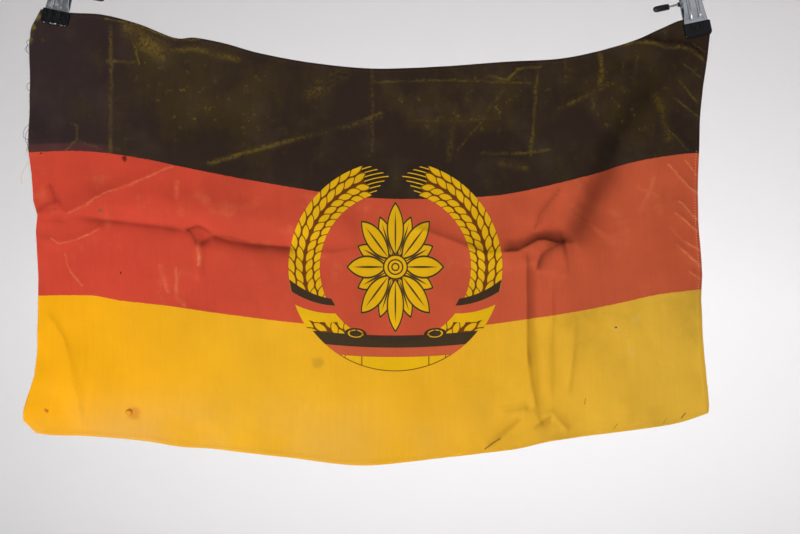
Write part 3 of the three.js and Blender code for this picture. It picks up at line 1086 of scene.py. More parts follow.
    def bands(
        self, paint: Painter, s: Wire, t: Wire, x: Wire, inside: Wire
    ) -> tuple[Wire, Wire, Wire, Wire]:
        """Colour the three bands.

        Args:
            paint: the material's painter.
            s: distance from the cloth's left edge.
            t: distance from its top edge.
            x: the place across the hanging plane.
            inside: the mask of the device's field.

        Returns:
            The bands' colour, then the masks of the black, red and yellow band.
        """
        edge = paint.noise(paint.join(s, t), 7.0, 3.0) - 0.5
        step, soft = self.border, self.emblem.soft
        upper = (t + edge * 1.6).rise(step - soft, step + soft)
        lower = (t + edge * 1.6).rise(2.0 * step - soft, 2.0 * step + soft)
        lower = lower * (1.0 - inside)
        across = x.rise(-420.0, 380.0)
        black = paint.mix(x.rise(-500.0, -250.0), self.black_hoist, self.black)
        strip = t.rise(step - 13.0, step - 9.0) * x.rise(-360.0, -420.0)
        black = paint.mix(strip * 0.8, black, self.plum)
        red = paint.mix(across, self.red, self.red_fly)
        yellow = paint.mix(x.rise(-480.0, -150.0), self.yellow_hoist, self.yellow)
        yellow = paint.mix(x.rise(40.0, 480.0), yellow, self.yellow_fly)
        colour = paint.mix(lower, paint.mix(upper, black, red), yellow)
        return colour, 1.0 - upper, upper * (1.0 - lower), lower

    def mottle(self, paint: Painter, at: Wire, x: Wire, z: Wire) -> Wire:
        """Draw the rubbed, mottled patches of the black band.

        Args:
            paint: the material's painter.
            at: the place, as a flat vector.
            x: the place across the hanging plane.
            z: the place up it.

        Returns:
            Their mask.
        """
        left = paint.length((x + 250.0) / 200.0, (z + 140.0) / 85.0)
        right = paint.length((x - 375.0) / 135.0, (z + 150.0) / 92.0)
        middle = paint.length((x - 120.0) / 190.0, (z + 150.0) / 60.0)
        reach = left.rise(1.3, 0.2).most(right.rise(1.3, 0.2)).most(middle.rise(1.3, 0.3) * 0.7)
        cloud = paint.noise(at, 70.0, 6.0, 0.66)
        streaks = paint.noise(paint.vector("MULTIPLY", at, (1.0, 0.22, 1.0)), 9.0, 4.0, 0.6)
        mixed = cloud * 0.74 + streaks * 0.26 + reach * 0.15
        return mixed.rise(0.5, 0.74)

    def survey(self, paint: Painter) -> tuple[Ground, Wire]:
        """Find where a place lies, and print the bands there.

        Args:
            paint: the material's painter.

        Returns:
            The ground, and the bands' colour.
        """
        chart = paint.vector("SCALE", paint.add("ShaderNodeUVMap", {"uv_map": "cut"}), 1.0 / MM)
        s, t, _ = paint.parts(chart)
        x, _, z = paint.parts(paint.place())
        flat = paint.join(x, z)
        sway = paint.noise(flat, 16.0, 3.0) - 0.5
        lift = paint.noise(paint.join(z, x), 16.0, 3.0) - 0.5
        broken = paint.noise(flat, 5.0, 4.0, 0.7)
        jitter = (broken - 0.5) * 6.0
        wavered = paint.join(x + sway * self.waver + jitter, z + lift * self.waver - jitter)
        middle = self.emblem.centre
        device = self.emblem.paint(paint, x - middle[0], middle[1] - z)
        colour, black, red, yellow = self.bands(paint, s, t, x, device["field"])
        return Ground(s, t, x, z, flat, wavered, broken, device, black, red, yellow), colour

    def wear(self, paint: Painter, ground: Ground, colour: Wire) -> tuple[Wire, Wire]:
        """Rub and dirty the printed bands.

        Args:
            paint: the material's painter.
            ground: what the wear is laid by.
            colour: the bands' colour.

        Returns:
            The worn colour, and the mask of what is rubbed along creases.
        """
        flat, wavered, broken, x = ground.flat, ground.wavered, ground.broken, ground.x
        patch = self.mottle(paint, flat, x, ground.z)
        gone = paint.noise(flat, 34.0, 2.0).rise(0.36, 0.6) * 0.65 + 0.35
        rubbed = self.worn(paint, wavered, Mark.RUBBED) * broken.rise(0.32, 0.58) * gone
        faint = self.worn(paint, wavered, Mark.FAINT) * broken.rise(0.38, 0.66) * gone
        rub = rubbed.most(faint * 0.6)
        colour = paint.mix(patch * ground.black * 0.56, colour, self.olive)
        veil = paint.noise(wavered, 64.0, 6.0, 0.62).rise(0.47, 0.72)
        colour = paint.mix(veil * ground.black * 0.15, colour, self.dusty)
        spark = (paint.noise(flat, 14.0, 5.0, 0.7).rise(0.56, 0.74) * patch).most(rub * 0.8)
        colour = paint.mix(spark * ground.black * 0.75, colour, self.bright_olive)
        pale = self.worn(paint, wavered, Mark.PALE) * broken.rise(0.3, 0.5) * gone
        glow = paint.noise(flat, 46.0, 5.0, 0.62).rise(0.55, 0.74)
        colour = paint.mix((pale * 0.9).most(glow * 0.24) * ground.red, colour, self.amber)
        # the yellow band darkens in broad patches towards the right
        right_darkening = paint.noise(flat, 120.0, 5.0, 0.6).rise(0.46, 0.72)
        colour = paint.mix(right_darkening * ground.yellow * 0.22 * x.rise(0.0, 350.0), colour, self.soot)
        hazy = ground.z.rise(-540.0, -640.0) * paint.noise(flat, 110.0, 4.0).rise(0.25, 0.7)
        return paint.mix(hazy * x.rise(420.0, -420.0) * 0.26, colour, self.cream), rub

    def overprint(self, paint: Painter, ground: Ground, colour: Wire) -> Wire:
        """Print the device, and lay the stains over it.

        Args:
            paint: the material's painter.
            ground: what the stains are laid by.
            colour: the worn bands' colour.

        Returns:
            The colour with the device and the stains.
        """
        device = ground.device
        printed = paint.mix(device["ink"], self.gold, self.gold_ink)
        printed = paint.mix(device["stripe"], printed, self.red_fly)
        printed = paint.mix(device["dark"], printed, self.soot)
        colour = paint.mix(device["cover"] * 0.985, colour, printed)
        for spot in self.spots:
            away = paint.vector("DISTANCE", ground.wavered, (spot.x, spot.z, 0.0), result="Value")
            shade = away.rise(spot.radius, spot.radius * 0.35) * spot.strength
            colour = paint.mix(shade, colour, spot.colour)
        return paint.mix(self.worn(paint, ground.flat, Mark.DARK), colour, self.soot)

    def lay(self, paint: Painter) -> None:
        """Print, wear and stain the cloth, then tone its threads, paint shade onto its upward-facing
        slopes and into its creases, and tint its back.

        Args:
            paint: the new material's painter.
        """
        ground, colour = self.survey(paint)
        colour, rub = self.wear(paint, ground, colour)
        colour = self.overprint(paint, ground, colour)
        s, t, flat, yellow = ground.s, ground.t, ground.flat, ground.yellow
        warp = paint.noise(paint.join(s, t * 0.03), 1.7, 3.0, 0.7) - 0.5
        weft = paint.noise(paint.join(s * 0.03, t), 1.7, 3.0, 0.7) - 0.5
        cloudy = (paint.noise(flat, 80.0, 5.0) - 0.5) * 0.5
        long = paint.noise(paint.join(s, t * 0.05), 6.0, 3.0, 0.6) - 0.5
        # painted shade, read from the cloth's vertices: darker on slopes that face up, away from the low
        # key light, and along the shaded sides of folds and creases; together with the weave's random tone
        # it draws the colour towards the shade colour
        painted_shade = paint.add("ShaderNodeAttribute", {"attribute_name": "painted_shade"}, {}, "Fac")
        tone = 0.05 + warp * 0.09 + weft * 0.08 + long * 0.1 + cloudy * (0.8 - yellow * 0.4) + painted_shade * 0.8
        shade = paint.mix(yellow * (1.0 - ground.device["cover"]), self.shadow, self.umber)
        colour = paint.mix(tone, colour, shade)

        behind = paint.add("ShaderNodeAttribute", {"attribute_name": "reverse"}, {}, "Fac")
        back = paint.mix(0.16 + yellow * 0.1 + ground.red * 0.08, colour, self.cream)
        back = paint.mix(ground.black * 0.5, back, self.olive)
        colour = paint.mix(behind, colour, back)

        over = (s * (math.pi / self.thread)).maths("SINE", s * (math.pi / self.thread))
        under = (t * (math.pi / self.thread)).maths("SINE", t * (math.pi / self.thread))
        weave = over * under * 0.5 + 0.5
        paint.set(
            Base_Color=colour,
            Roughness=0.78 + warp * 0.2 + rub * 0.08,
            Specular_IOR_Level=0.12,
            Sheen_Weight=0.03,
            Sheen_Roughness=0.5,
        )
        paint.bump(weave * 0.35 + warp * 0.5 + weft * 0.5 + ground.broken * 0.3, 0.22)


# -------- the cloth


class Edge(Enum):
    """How a fold's top or foot is turned."""

    SOFT = "soft"
    CREASED = "creased"


@dataclass(frozen=True)
class Fold:
    """A ridge or trough of the hanging cloth, or a line of painted shade along one.

    `path` is where it runs in the hanging plane, `height` how far the cloth stands forward on it or
    how dark the painted shade is, and `left` and `right` how far it reaches to each side along the path.
    """

    path: tuple[Place, ...]
    height: float
    left: float
    right: float
    fade: float = 26.0
    edge: Edge = Edge.SOFT
    round: float = 0.12

    def rise_at(self, x: np.ndarray, z: np.ndarray) -> np.ndarray:
        """How high this fold stands.

        Args:
            x: places across the hanging plane.
            z: places up it.

        Returns:
            The height at each place.
        """
        nearest = np.full(x.shape, np.inf)
        side = np.zeros_like(x)
        along = np.zeros_like(x)
        run = 0.0
        for (x0, z0), (x1, z1) in zip(self.path, self.path[1:]):
            dx, dz = x1 - x0, z1 - z0
            length = math.hypot(dx, dz)
            held = np.clip(((x - x0) * dx + (z - z0) * dz) / length, 0.0, length)
            away = np.hypot(x - x0 - dx * held / length, z - z0 - dz * held / length)
            closer = away < nearest
            nearest = np.where(closer, away, nearest)
            side = np.where(closer, dx * (z - z0) - dz * (x - x0), side)
            along = np.where(closer, run + held, along)
            run += length
        away = nearest / np.where(side >= 0.0, self.left, self.right)
        ends = rise(along, 0.0, self.fade) * rise(run - along, 0.0, self.fade)
        shape = bell(away) if self.edge is Edge.SOFT else np.exp(self.round - np.hypot(away, self.round))
        return self.height * shape * ends


@dataclass(frozen=True)
class Crease(Fold):
    """A fold whose top or foot is turned sharply."""

    edge: Edge = Edge.CREASED


@dataclass
class HungCloth:
    """The flag itself, cut 1000 by 600 mm, hanging in its own folds.

    A swell has its place, its height, and how far it reaches across and down; a layer of rumples has
    the size of its rumples across and down, its own place in the noise, and its height.
    """

    clips: Sequence["SpringClip"]
    width: float = 1000.0
    height: float = 600.0
    thickness: float = 0.6
    hem_thickness: float = 1.5
    hem_width: float = 8.0
    columns: int = 288
    rows: int = 166
    edge_reach: float = 45.0
    flat_at_clip: tuple[float, float] = (26.0, 95.0)
    top_edge: tuple[Place, ...] = (
        (-483, -19), (-440, -24), (-394, -27), (-343, -40), (-291, -60), (-261, -60),
        (-219, -68), (-168, -82), (-90, -96), (0, -104), (90, -101), (192, -94),
        (265, -90), (320, -79), (369, -65), (407, -48), (441, -34), (476, -31),
    )
    upper_border: tuple[Place, ...] = (
        (-501, -225), (-438, -223), (-391, -226), (-332, -235), (-270, -248), (-182, -265),
        (-53, -286), (34, -292), (149, -289), (215, -280), (303, -259), (369, -239),
        (435, -228), (464, -226),
    )
    lower_border: tuple[Place, ...] = (
        (-485, -431), (-409, -431), (-367, -438), (-297, -446), (-228, -456), (-124, -469),
        (-53, -474), (91, -478), (149, -474), (215, -465), (281, -455), (348, -442),
        (402, -430), (466, -422),
    )
    bottom_edge: tuple[Place, ...] = (
        (-489, -629), (-460, -632), (-414, -633), (-335, -640), (-283, -648), (-228, -652),
        (-124, -664), (-21, -675), (90, -665), (149, -658), (204, -651), (248, -641),
        (303, -633), (386, -622), (435, -614), (477, -600),
    )
    hoist_edge: tuple[Place, ...] = (
        (-19, -483), (-45, -497), (-68, -500), (-130, -499), (-225, -501), (-255, -496),
        (-295, -493), (-315, -486), (-340, -489), (-377, -487), (-431, -485), (-501, -487),
        (-547, -492), (-580, -503), (-597, -507), (-611, -507), (-629, -489),
    )
    fly_edge: tuple[Place, ...] = (
        (-32, 476), (-54, 480), (-90, 476), (-130, 470), (-178, 466), (-224, 464),
        (-281, 462), (-325, 463), (-401, 468), (-437, 466), (-519, 471), (-563, 476),
        (-589, 478), (-600, 477),
    )
    folds: tuple[Fold, ...] = (
        # the long slack fold across the middle band, from the left edge to the wreath
        Crease(((-445, -318), (-383, -322), (-332, -328), (-281, -335), (-268, -344), (-257, -358)), -4.5,
               26, 8, 50),
        Crease(((-260, -360), (-244, -350), (-235, -344), (-212, -351), (-175, -357), (-110, -361)), -7,
               26, 10, 22),
        Fold(((-430, -296), (-330, -300), (-250, -306), (-130, -326), (-20, -336)), 5, 30, 22),
        # the small arch where that fold splits
        Crease(((-276, -340), (-268, -333), (-256, -330), (-246, -334), (-238, -343)), -2.8, 7, 4, 10),
        Fold(((-256, -352), (-254, -385), (-256, -410)), 2, 7, 7, 10),
        # across the wreath
        Crease(((-110, -368), (-60, -370), (-11, -362)), 2.4, 8, 18, 30),
        Crease(((40, -331), (68, -338), (109, -353), (129, -361), (158, -372), (186, -368)), 4.5, 9,
               22, 26),
        # the deep fold right of the wreath and its two rims
        Crease(((168, -371), (204, -367), (215, -361), (231, -352), (243, -351), (259, -356),
               (285, -352)), 6.4, 8, 26, 24),
        Crease(((229, -394), (233, -382), (238, -372), (246, -364), (256, -359), (272, -356)), 6.5, 8,
               18, 8),
        Fold(((170, -352), (214, -345), (240, -336), (285, -336)), -4.5, 22, 14, 30),
        # the broad valley that climbs from it to the right clip
        Fold(((276, -352), (304, -326), (322, -296), (336, -262), (348, -226), (364, -190), (392, -146),
             (440, -92)), -12, 22, 56, 70),
        Fold(((262, -312), (278, -292), (292, -262), (304, -232), (320, -198), (350, -152), (396, -104)),
             10, 36, 24, 50),
        # the short crease slanting down to it
        Crease(((270, -270), (246, -300), (237, -317), (226, -342)), 3.4, 5, 16, 22),
        # upright pleats below it
        Crease(((215, -366), (215, -514), (219, -550), (230, -602)), 4.2, 7, 26, 20),
        Fold(((228, -372), (229, -470), (238, -590)), -1.6, 9, 7),
        Crease(((251, -400), (251, -520), (251, -597)), 3, 6, 14, 40),
        Crease(((287, -450), (280, -524), (273, -588)), 3, 6, 16, 40),
        # the crumple at the foot of the pleats
        Crease(((170, -597), (208, -594), (221, -589)), 2.4, 6, 9, 18),
        Crease(((219, -588), (228, -597), (236, -606), (252, -601), (279, -629)), 3.6, 7, 9, 10),
        Fold(((232, -612), (244, -608), (258, -606)), -2.6, 5, 7, 8),
        Crease(((221, -590), (182, -629), (154, -652)), 3.2, 9, 7, 10),
        # the crease down the bottom left corner
        Crease(((-480, -444), (-454, -481), (-441, -515), (-428, -567), (-421, -628)), 3.4, 7, 20, 30),
        # the creases out of the left edge's notch
        Crease(((-488, -318), (-458, -308), (-442, -312), (-383, -283), (-294, -245)), 2.6, 14, 8, 20),
        Crease(((-472, -266), (-463, -288), (-456, -310)), 2, 5, 12, 16),
        Crease(((-492, -316), (-470, -303), (-452, -296)), 1.6, 5, 7, 8),
        Crease(((-490, -330), (-466, -326), (-440, -330)), 1.4, 5, 7, 8),
        Crease(((-490, -347), (-453, -357), (-404, -340), (-388, -325)), 2.2, 8, 8, 20),
        # the cloth drawn up below the right clip
        Crease(((322, -76), (368, -68), (391, -66), (408, -71), (437, -73), (454, -78), (474, -95)), 4, 5,
               16, 14),
        Fold(((330, -96), (379, -86), (430, -100)), -3, 12, 14),
        # and below the left one
        Fold(((-440, -60), (-400, -84), (-360, -96)), 2.6, 14, 9),
        Fold(((-359, -44), (-350, -72), (-347, -100)), 2.4, 8, 5),
        Fold(((-455, -70), (-449, -140), (-452, -215)), -3, 16, 22),
        # drawn threads along the right hem
        Crease(((456, -96), (470, -118)), 1.2, 4, 4, 8),
        Crease(((446, -114), (468, -150)), 1.4, 5, 4, 8),
        Crease(((441, -143), (466, -178)), 1.3, 5, 4, 8),
        Crease(((428, -193), (462, -232)), 1.4, 5, 4, 8),
        Crease(((418, -241), (461, -287)), 1.5, 5, 4, 8),
        Crease(((428, -290), (461, -322)), 1.3, 5, 4, 8),
        Crease(((428, -310), (463, -340)), 1.4, 5, 4, 8),
        Crease(((428, -356), (467, -391)), 1.4, 5, 4, 8),
        Crease(((444, -392), (468, -411)), 1.1, 5, 4, 8),
        Crease(((440, -440), (470, -470)), 1, 6, 5, 8),
        # pressed creases left from when it lay folded
        Crease(((-383, -40), (-381, -230), (-385, -420)), 0.9, 4, 4, 26),
        Crease(((-6, -104), (-5, -230)), 0.9, 4, 4, 26),
        Crease(((232, -104), (222, -229)), 0.9, 4, 4, 26),
        Crease(((-4, -124), (221, -125)), 0.7, 4, 4, 26),
        Crease(((-2, -177), (91, -180), (178, -176)), 0.7, 4, 4, 26),
    )
    # painted shade along the shaded sides of folds and creases: each line darkens the cloth's colour by
    # its height, as far to each side as its reaches
    crease_shade: tuple[Fold, ...] = (
        # in the deep fold and its two rims
        Crease(((178, -368), (204, -366), (215, -360), (231, -351), (241, -350), (259, -355), (277, -355),
               (288, -354)), 0.5, 4.2, 1.2, 10),
        Crease(((229, -396), (232, -383), (236, -373), (245, -365), (256, -359), (270, -356)), 0.75, 0.9,
               8, 6),
        # the broad valley that climbs from it
        Fold(((270, -354), (288, -340), (299, -317), (316, -288), (334, -258), (346, -204), (369, -167),
             (448, -88)), 0.5, 20, 18, 22),
        # the thin slanting crease
        Crease(((266, -276), (244, -302), (235, -314), (231, -328), (226, -339)), 0.4, 1.8, 2.6, 8),
        # the pleats
        Crease(((215, -364), (216, -430), (217, -514), (218, -540)), 0.36, 6.5, 0.9, 16),
        Crease(((217, -500), (224, -560), (233, -603)), 0.24, 4, 0.9, 20),
        Crease(((250, -470), (250, -520), (251, -584)), 0.18, 1.6, 5, 20),
        Crease(((285, -500), (281, -540), (276, -580)), 0.22, 4, 1.6, 20),
        Crease(((178, -599), (205, -594), (221, -590)), 0.24, 1.4, 5, 12),
        Crease(((208, -606), (184, -628), (158, -651)), 0.42, 1.8, 4, 8),
        Crease(((224, -622), (242, -610), (255, -602)), 0.42, 1.6, 5, 8),
        Crease(((222, -590), (230, -600), (236, -610)), 0.38, 1.4, 4, 5),
        # the long slack fold, with the notch where it splits
        Crease(((-436, -316), (-386, -322), (-340, -328), (-289, -332), (-272, -334)), 0.22, 1.2, 8, 24),
        Crease(((-275, -334), (-266, -340), (-261, -349), (-256, -357)), 0.45, 1.6, 2.6, 4),
        Crease(((-272, -336), (-262, -331), (-252, -330), (-244, -336), (-236, -343)), 0.26, 1.2, 3, 5),
        Crease(((-255, -357), (-245, -351), (-238, -344)), 0.3, 1.2, 5, 4),
        Crease(((-240, -344), (-209, -347), (-180, -356), (-140, -361), (-110, -364)), 0.3, 1.4, 8, 8),
        # at the left edge's notch
        Crease(((-471, -268), (-464, -283), (-459, -306)), 0.3, 1.2, 4, 8),
        Crease(((-486, -312), (-470, -306), (-456, -307)), 0.2, 1, 3, 5),
        Crease(((-486, -344), (-466, -348), (-455, -355)), 0.16, 1.2, 2.4, 5),
        # down the bottom left corner
        Crease(((-475, -452), (-461, -469), (-447, -494), (-441, -515), (-435, -547), (-428, -578),
               (-421, -608)), 0.18, 2, 0.9, 16),
        # under the turned corner by the right clip
        Crease(((330, -70), (368, -62), (391, -60), (408, -65), (437, -67), (454, -72), (474, -88)), 0.9,
               4, 1, 12),
    )
    swells: tuple[tuple[float, float, float, float, float], ...] = (
        (-330, -420, 9, 170, 190),
        (-20, -520, 10, 260, 150),
        (110, -190, -6, 200, 100),
        (360, -470, 8, 120, 160),
        (-160, -150, -5, 220, 70),
    )
    rumples: tuple[tuple[float, float, float, float], ...] = (
        (75.0, 95.0, 3.1, 4.0),
        (26.0, 34.0, 8.7, 0.9),
        (9.0, 11.0, 1.9, 0.18),
    )
    crowded_across: tuple[tuple[float, float, float], ...] = (
        (0.0, 12.0, 1.4), (45.0, 25.0, 0.7), (1000.0, 18.0, 2.0), (250.0, 26.0, 1.3),
        (748.0, 30.0, 2.0), (800.0, 40.0, 0.9),
    )
    crowded_down: tuple[tuple[float, float, float], ...] = (
        (0.0, 10.0, 1.6), (600.0, 10.0, 1.6), (568.0, 22.0, 0.9), (275.0, 26.0, 2.6),
    )
    across: np.ndarray = field(init=False)
    down: np.ndarray = field(init=False)
    middle: np.ndarray = field(init=False)

    def __post_init__(self) -> None:
        """Set out the grid, closer where there are folds and hems."""
        self.across = spaced(self.width, self.columns, self.crowded_across)
        self.down = spaced(self.height, self.rows, self.crowded_down)
        plane = self.in_plane()
        x, z = plane[..., 0], plane[..., 1]
        s, t = self.cut_places()
        out = (self.forward(x, z) + self.rumple(x, z)) * self.freedom(x, z) + self.edge_curl(s, t)
        self.middle = np.stack([x, -out, z], axis=-1)

    def cut_places(self) -> tuple[np.ndarray, np.ndarray]:
        """Each grid place's distance from the left edge and from the top edge, as cut."""
        return np.meshgrid(self.across * self.width, self.down * self.height)

    def in_plane(self) -> np.ndarray:
        """Hang the grid by its edges and borders, as seen from in front.

        Returns:
            Its places, rows by columns by (x, z).
        """
        lines = (self.top_edge, self.upper_border, self.lower_border, self.bottom_edge)
        read = np.stack([curve_through(line, self.across, by_length=True) for line in lines])
        t = self.down * 3.0
        weights = np.stack([
            -(t - 1.0) * (t - 2.0) * (t - 3.0) / 6.0,
            t * (t - 2.0) * (t - 3.0) / 2.0,
            -t * (t - 1.0) * (t - 3.0) / 2.0,
            t * (t - 1.0) * (t - 2.0) / 6.0,
        ])
        place = np.einsum("lr,lcp->rcp", weights, read)
        left, right = place[:, :1].copy(), place[:, -1:].copy()
        span = right[..., 0] - left[..., 0]
        sides = ((self.hoist_edge, left, self.across), (self.fly_edge, right, 1.0 - self.across))
        for edge, end, inward in sides:
            heights, wander = np.asarray(edge, float).T
            shift = np.interp(-end[..., 1], -heights, wander) - end[..., 0]
            place[..., 0] += shift * np.exp(-inward * span / self.edge_reach)
        return place

    def forward(self, x: np.ndarray, z: np.ndarray) -> np.ndarray:
        """How far the cloth's swells and folds stand forward of the clips' plane.

        Args:
            x: places across the hanging plane.
            z: places up it.

        Returns:
            The height at each place.
        """
        height = np.zeros_like(x)
        for cx, cz, high, wide, deep in self.swells:
            height += high * bell((x - cx) / wide) * bell((z - cz) / deep)
        for fold in self.folds:
            height += fold.rise_at(x, z)
        return height

    def rumple(self, x: np.ndarray, z: np.ndarray) -> np.ndarray:
        """The small uneven rumples of cloth that has been folded and handled often.

        Args:
            x: places across the hanging plane.
            z: places up it.

        Returns:
            The height at each place.
        """
        out = np.zeros(x.size)
        for wide, deep, start, high in self.rumples:
            places = (Vector((px / wide, pz / deep, start)) for px, pz in zip(x.ravel(), z.ravel()))
            out += high * np.array([noise.noise(place) for place in places])
        return out.reshape(x.shape)

    def freedom(self, x: np.ndarray, z: np.ndarray) -> np.ndarray:
        """How free the cloth is to leave the clips' plane, which it lies in between their jaws.

        Args:
            x: places across the hanging plane.
            z: places up it.

        Returns:
            A share from 0 to 1 for each place.
        """
        free = np.ones_like(x)
        for clip in self.clips:
            jaw = clip.jaw_centre()
            free *= rise(np.hypot(x - jaw[0], z - jaw[1]), *self.flat_at_clip)
        return free

    def edge_curl(self, s: np.ndarray, t: np.ndarray) -> np.ndarray:
        """How far forward the loose edges curl: the raw left one, the right one and the foot.

        Args:
            s: distances from the left edge, as cut.
            t: distances from the top edge.

        Returns:
            The height at each place.
        """
        left = bell(s / 16.0) * (1.6 * np.sin(t / 21.0) + 1.2 * np.sin(t / 9.0 + 1.0))
        left = left * rise(t, 40.0, 120.0)
        right = bell((self.width - s) / 12.0) * 1.1 * np.sin(t / 13.0) * rise(t, 60.0, 120.0)
        foot = bell((self.height - t) / 14.0) * (0.9 * np.sin(s / 24.0) + 0.5 * np.sin(s / 11.0))
        return left + right + foot

    def thick(self, s: np.ndarray, t: np.ndarray) -> np.ndarray:
        """The cloth's thickness, doubled over in its top, bottom and right hems.

        Args:
            s: distances from the left edge, as cut.
            t: distances from the top edge.

        Returns:
            The thickness at each place.
        """
        inward = np.minimum(np.minimum(self.width - s, t), self.height - t)
        hem = 1.0 - rise(inward, self.hem_width - 1.5, self.hem_width)
        rounded_rim = 0.35 + 0.65 * rise(np.minimum(inward, s), -0.5, 2.4)
        return (self.thickness + (self.hem_thickness - self.thickness) * hem) * rounded_rim

    def build(self, finish: Material) -> Object:
        """Make the cloth.

        Args:
            finish: its printed cotton.

        Returns:
            The cloth's object, which stands for its node.
        """
        s, t = self.cut_places()
        half = grid_normals(self.middle) * (self.thick(s, t) / 2.0)[..., None]
        layers = np.concatenate([(self.middle + half).reshape(-1, 3), (self.middle - half).reshape(-1, 3)])
        faces = sheet_faces(self.rows, self.columns).tolist()
        cloth = make_mesh("flag_cloth_printed", layers, faces, finish, 60.0)
        cut = np.tile(np.stack([s, t], axis=-1).reshape(-1, 2) * MM, (2, 1))
        chart = cloth.data.uv_layers.new(name="cut")
        corners = np.empty(len(cloth.data.loops), np.int32)
        cloth.data.loops.foreach_get("vertex_index", corners)
        chart.uv.foreach_set("vector", cut[corners].astype(np.float32).ravel())
        # painted shade kept on the vertices: darker where the cloth faces up, away from the low key light,
        # plus the painted shade of each line in the cloth's list of shaded creases
        painted_shade = 0.4 * rise(grid_normals(self.middle)[..., 2], 0.1, 0.62)
        for crease in self.crease_shade:
            painted_shade = painted_shade + crease.rise_at(self.middle[..., 0], self.middle[..., 2])
        marks = {"reverse": np.repeat((0.0, 1.0), s.size), "painted_shade": np.tile(painted_shade.ravel(), 2)}
        for mark, values in marks.items():
            layer = cloth.data.attributes.new(mark, "FLOAT", "POINT")
            layer.data.foreach_set("value", values.astype(np.float32))
        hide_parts("flag_cloth")
        return cloth


@dataclass
class ClothTrim:
    """The stitches of the hems and the loose threads of the raw edge."""

    cloth: HungCloth
    inset: float = 4.6
    pitch: float = 3.9
    stitch: float = 1.7
    thread: float = 0.42
    fibre: float = 0.28
    fuzz_count: int = 420
    fuzz_seed: int = 17
    fuzz_radii: tuple[float, ...] = (0.1, 0.1, 0.09, 0.08, 0.05)
    hoist_loops: tuple[tuple[Place, ...], ...] = (
        ((-499, -186), (-504, -189), (-508, -197), (-507, -204), (-501, -207)),
        ((-499, -192), (-504, -198), (-505, -208), (-502, -215), (-504, -222), (-500, -227)),
        ((-499, -205), (-503, -212), (-501, -220), (-505, -226), (-502, -230)),
        ((-499, -236), (-503, -243), (-508, -252), (-511, -262), (-510, -271)),
        ((-498, -62), (-503, -66), (-502, -72), (-506, -76), (-503, -81)),
        ((-500, -70), (-504, -73), (-503, -79), (-500, -84)),
        ((-499, -124), (-503, -128), (-502, -134), (-499, -137)),
    )

    def surface(self, s: np.ndarray, t: np.ndarray) -> tuple[np.ndarray, np.ndarray]:
        """Read the cloth's middle surface.

        Args:
            s: distances from its left edge.
            t: distances from its top edge.

        Returns:
            Places on it, and its normals there, towards the front.
        """
        cloth = self.cloth
        column = np.interp(s / cloth.width, cloth.across, np.arange(cloth.columns + 1))
        row = np.interp(t / cloth.height, cloth.down, np.arange(cloth.rows + 1))
        j = np.minimum(column.astype(int), cloth.columns - 1)
        i = np.minimum(row.astype(int), cloth.rows - 1)
        u, v = (column - j)[:, None], (row - i)[:, None]
        read = []
        for grid in (cloth.middle, grid_normals(cloth.middle)):
            upper = grid[i, j] * (1.0 - u) + grid[i, j + 1] * u
            lower = grid[i + 1, j] * (1.0 - u) + grid[i + 1, j + 1] * u
            read.append(upper * (1.0 - v) + lower * v)
        return read[0], read[1]

    def stitches(self, finish: Material) -> Object:
        """Sew the three hems, on both faces of the cloth.

        Args:
            finish: the sewing thread.

        Returns:
            All the stitches, as one object.
        """
        cloth = self.cloth
        skin = Skin()
        steps = np.linspace(0.0, 1.0, 5)
        radii = self.thread * np.array((0.5, 0.9, 1.0, 0.9, 0.5))
        for edge, length in (("right", cloth.height), ("top", cloth.width), ("bottom", cloth.width)):
            starts = np.arange(self.inset + 1.0, length - self.inset - self.stitch, self.pitch)
            along = (starts[:, None] + steps[None, :] * self.stitch).ravel()
            if edge == "right":
                s, t = np.full_like(along, cloth.width - self.inset), along
            else:
                t = np.full_like(along, self.inset if edge == "top" else cloth.height - self.inset)
                s = along
            places, normals = self.surface(s, t)
            arch = np.sin(math.pi * np.tile(steps, len(starts)))
            lift = cloth.hem_thickness / 2.0 - self.thread * 1.2 + self.thread * 1.7 * arch
            for face in (1.0, -1.0):
                path = (places + normals * (face * lift)[:, None]).reshape(len(starts), len(steps), 3)
                for one in path:
                    skin.add(tube_rings(one, radii, 5))
        return make_mesh("flag_hem_stitches", skin.array(), skin.faces, finish)

    def fray(self, finish: Material) -> Object:
        """Draw out the loose threads of the raw left edge, and the fine fuzz along it.

        Args:
            finish: the sewing thread, of which the loose threads are made too.

        Returns:
            All the threads, as one object.
        """
        cloth = self.cloth
        skin = Skin()
        for number, loop in enumerate(self.hoist_loops):
            at = np.linspace(0.0, 1.0, 26)
            flat = curve_through(loop, at, by_length=False)
            wave = 1.4 * np.sin(at * 5.0 + number * 1.7) + 0.6
            path = np.stack([flat[:, 0], -wave, flat[:, 1]], axis=-1)
            skin.add(tube_rings(path, np.full(len(at), self.fibre), 5))
        chance = np.random.default_rng(self.fuzz_seed)
        t = np.sort(chance.uniform(30.0, cloth.height - 4.0, self.fuzz_count))
        places, normals = self.surface(np.full_like(t, 0.6), t)
        for place, normal in zip(places, normals):
            reach = chance.uniform(0.8, 2.6)
            drop = chance.normal(0.0, 1.2)
            end = place + np.array((-reach, chance.normal(0.0, 0.5), drop))
            bend = (place + end) / 2.0 + normal * chance.normal(0.0, 0.4) + np.array((0.0, 0.0, 0.5))
            path = curve_through((place, bend, end), np.linspace(0.0, 1.0, 5), by_length=False)
            skin.add(tube_rings(path, np.array(self.fuzz_radii), 4))
        return make_mesh("flag_frayed_edge", skin.array(), skin.faces, finish)


